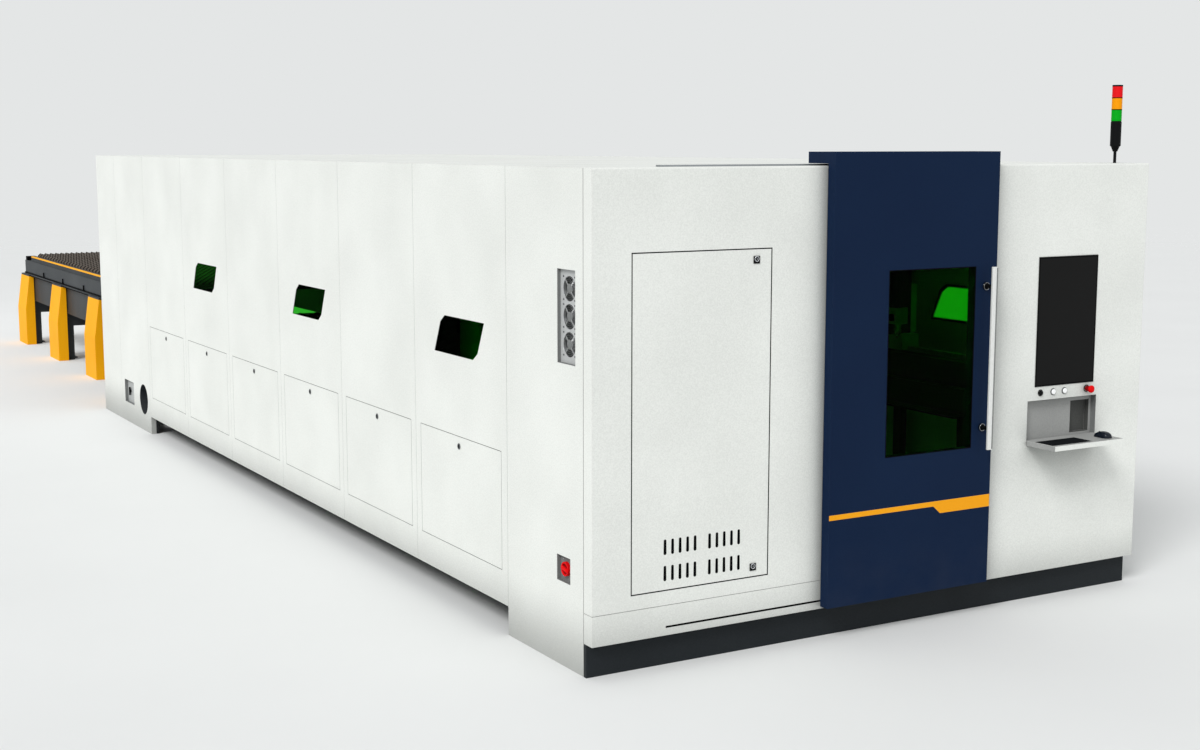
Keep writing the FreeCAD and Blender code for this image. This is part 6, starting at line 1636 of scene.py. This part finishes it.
@dataclass
class CuttingUnit:
    """Bed, rails, gantry, carriage and cutting head."""

    screw_pitch: float = 240.0
    screw_inset: float = 15.0
    tray_inset: float = 150.0
    tray_half: tuple[float, float] = (85.0, 90.0)
    links: int = 56
    links_inset: float = 250.0
    motor_inset: float = 140.0
    housing: float = 1330.0
    nose: Profile = (
        (0, 0), (2.2, 0), (6, 9), (11, 13), (12, 15), (12, 22), (20, 24), (24, 30), (24, 52), (21, 55),
        (21, 70), (24, 73), (24, 92), (0, 92),
    )
    nozzle: Profile = ((0, 0.2), (2.6, 0), (6.4, 9), (11.5, 13.5), (11.5, 14), (0, 14))

    def build(self) -> None:
        """Adds rail screws, gantry covers and the detailed head."""
        self._rail_screws()
        self._gantry()
        self._head()

    def _rail_screws(self) -> None:
        """Socket screws along both linear rails."""
        low, high = node_box("linear_rails")
        screws = Shape(BLACK)
        count = int((high.y - low.y) / self.screw_pitch)
        for x, index in product((low.x + self.screw_inset, high.x - self.screw_inset), range(count)):
            y = low.y + (index + 0.5) * self.screw_pitch
            screws.rod((x, y, high.z - 1), (x, y, high.z + 0.2), 6, sides=8)
        screws.piece("rail_screws", "machine")

    def _gantry(self) -> None:
        """Cable carrier in its tray on top of the gantry, motor covers on both ends."""
        low, high = node_box("gantry_beam")
        top = middle_of("gantry_beam", z=high.z)
        length = (high.x - low.x) / 2 - self.tray_inset
        inner, outer = self.tray_half
        tray = Shape(GREY, BLACK)
        tray.box((-length, -outer, 0), (length, -inner, 50), origin=top)
        tray.box((-length, inner, 0), (length, outer, 50), origin=top)
        pitch = (high.x - low.x - 2 * self.links_inset) / self.links
        for index in range(self.links):
            link = Vector((low.x + self.links_inset + index * pitch, top.y, top.z))
            tray.box((0, -60, 2), (pitch * 0.86, 60, 45), bevel=5, steps=1, finish=BLACK, origin=link)
        tray.piece("gantry_cable_carrier", "gantry")
        motors = Shape(BLACK, GREY)
        for side in (-1, 1):
            end = Vector((side * (high.x - self.motor_inset), top.y, top.z))
            motors.box((-70, 140, -200), (70, 200, -60), bevel=6, finish=GREY, origin=end)
            motors.box((-55, 200, -190), (55, 360, -70), bevel=10, origin=end)
        motors.piece("gantry_motors", "gantry")

    def _head(self) -> None:
        """Head with side covers, lens drawer, collimator, sensor ring and copper nozzle."""
        low, high = node_box("cutting_head")
        tip = middle_of("cutting_head", z=low.z)
        base = self.housing
        head = Shape(PALE_GREY, BLACK, LOCK_METAL, COPPER, NAVY)
        cover = (low.x + 8, low.y + 6, base + 100), (high.x - 8, high.y, high.z)
        drawer = (low.x, low.y + 30, base + 20), (low.x + 24, high.y - 30, base + 60)
        head.box(*cover, bevel=8, steps=3, finish=NAVY)
        head.box((low.x + 20, low.y + 14, base), (high.x - 20, high.y - 4, base + 110), bevel=5)
        head.box(*drawer, bevel=3, finish=BLACK)
        head.lathe(self.nose, tip, Side.UP, 40, LOCK_METAL)
        head.lathe(self.nozzle, tip - Side.UP.unit * 0.1, Side.UP, 40, COPPER)
        head.piece("cutting_head_body", "head", "cutting_head")

    def dress(self) -> None:
        """Finishes of the CAD nodes."""
        dress(CHARCOAL, "machine_bed")
        dress(GREY, "bed_tracks")
        dress(STEEL, "linear_rails")
        dress(PALE_GREY, "gantry_beam")
        dress(GREY, "cutting_carriage")


# ---------------------------------------------------------------------------
# Exchange table and pallets
# ---------------------------------------------------------------------------

@dataclass
class ExchangeTable:
    """Table with its legs and rails, and the pallets with serrated slats."""

    slats: int = 76
    teeth: int = 40
    slat_thick: float = 4.0
    tooth_depth: float = 26.0
    notch: float = 32.0
    stop_pitch: float = 1000.0
    stop_first: float = 655.0
    bar_shown: float = 22.0
    leg_pairs: int = 4
    leg_pitch: float = 1745.0
    foot_inset: float = 106.0
    foot_width: float = 140.0
    foot_thick: float = 12.0

    def build(self) -> None:
        """Makes slats, rail trim, bar covers and foot plates."""
        self._slats()
        self._rail_trim()
        self._bar_covers()
        self._feet()

    def _slats(self) -> None:
        """Upright serrated slats across the upper pallet."""
        low, high = node_box("upper_slats")
        shelf = node_box("upper_pallet")[1].z
        pitch = (high.x - low.x) / self.teeth
        valley = high.z - self.tooth_depth
        notch = self.notch
        outline = [
            (low.x, low.z), (-notch, low.z), (-notch, shelf), (notch, shelf), (notch, low.z),
            (high.x, low.z), (high.x, valley),
        ]
        for tooth in range(self.teeth):
            x = high.x - tooth * pitch
            outline += [(x - pitch / 2, high.z), (x - pitch, valley)]
        step = (high.y - low.y - self.slat_thick) / (self.slats - 1)
        row = Shape(SLAT_STEEL, BURNT_STEEL)
        for index in range(self.slats):
            corners = [(x, low.y + index * step, z) for x, z in outline]
            row.plate(corners, self.slat_thick, BURNT_STEEL if index % 2 else SLAT_STEEL)
        row.piece("pallet_slats", "table_pallet", "upper_slats", smooth=20.0)

    @staticmethod
    def _span(face: float, side: int, inward: float, outward: float) -> list[float]:
        """Lower and upper X of what reaches so far inward and outward from a side face."""
        return sorted((face - side * inward, face + side * outward))

    def _rail_trim(self) -> None:
        """Strip along the foot of both rails, dark bands above and below it, small stops, and end blocks.
        """
        low, high = node_box("table_rails")
        foot = low.z - 16
        trim = Shape(CHARCOAL, RUBBER)
        for side, face in ((-1, low.x), (1, high.x)):
            a, b = self._span(face, side, 9, 1.5)
            trim.box((a, low.y, foot), (b, high.y, foot + 40), finish=RUBBER)
            a, b = self._span(face, side, 9, 3)
            trim.box((a, low.y, foot + 11), (b, high.y, foot + 26), bevel=1.5)
            for index in range(int((high.y - low.y) / self.stop_pitch)):
                y = low.y + index * self.stop_pitch + self.stop_first
                trim.box((a, y, foot + 26), (b, y + 14, foot + 92), bevel=2, finish=RUBBER)
                trim.box((a, y - 18, foot + 34), (b, y + 32, foot + 46), bevel=2, finish=RUBBER)
            a, b = self._span(face, side, 14, -120)
            trim.box((a, high.y - 120, high.z), (b, high.y - 20, high.z + 46), bevel=4, finish=RUBBER)
        trim.piece("table_rail_trim", "machine")

    def _bar_covers(self) -> None:
        """Dark covers over the inner part of the pallet's edge bars."""
        low, high = node_box("pallet_edge_bars")
        covers = Shape(CHARCOAL)
        for side, face in ((-1, low.x), (1, high.x)):
            a, b = self._span(face, side, 59, -self.bar_shown)
            covers.box((a, low.y + 1, high.z - 1), (b, high.y - 1, high.z + 0.6))
        covers.piece("edge_bar_covers", "table_pallet")

    def _feet(self) -> None:
        """Anchor plates with studs beside each table leg."""
        low, high = node_box("table_legs")
        plates = Shape(CHARCOAL, LOCK_METAL)
        half, thick = self.foot_width / 2, self.foot_thick
        out = high.x - self.foot_inset - half
        for index, side in product(range(self.leg_pairs), (-1, 1)):
            spot = Vector((side * out, low.y + index * self.leg_pitch + 270, 0))
            plates.box((-half, -70, 0), (half, 70, thick), bevel=2, origin=spot)
            stud = spot + Side.UP.unit * thick
            plates.rod(stud, stud + Side.UP.unit * 28, 9, sides=12, finish=LOCK_METAL)
        plates.piece("table_foot_plates", "machine")

    def dress(self) -> None:
        """Finishes of the CAD nodes."""
        dress(GREY, "table_rails", "table_frame")
        dress(ORANGE, "table_legs", "pallet_edge_bars")
        dress(CHARCOAL, "upper_pallet", "lower_pallet")


def main() -> None:
    """Builds and dresses every sub-assembly."""
    Studio().build()
    parts = (
        FrontShell(), SlidingDoor(), Console(), TowerLight(), SideWalls(), FanBank(), RotarySwitches(),
        CuttingUnit(), ExchangeTable(),
    )
    for part in parts:
        part.dress()
        part.build()
        log.info("%s is ready", type(part).__name__)


if __name__ == "__main__":
    logging.basicConfig(level=logging.INFO)
    main()
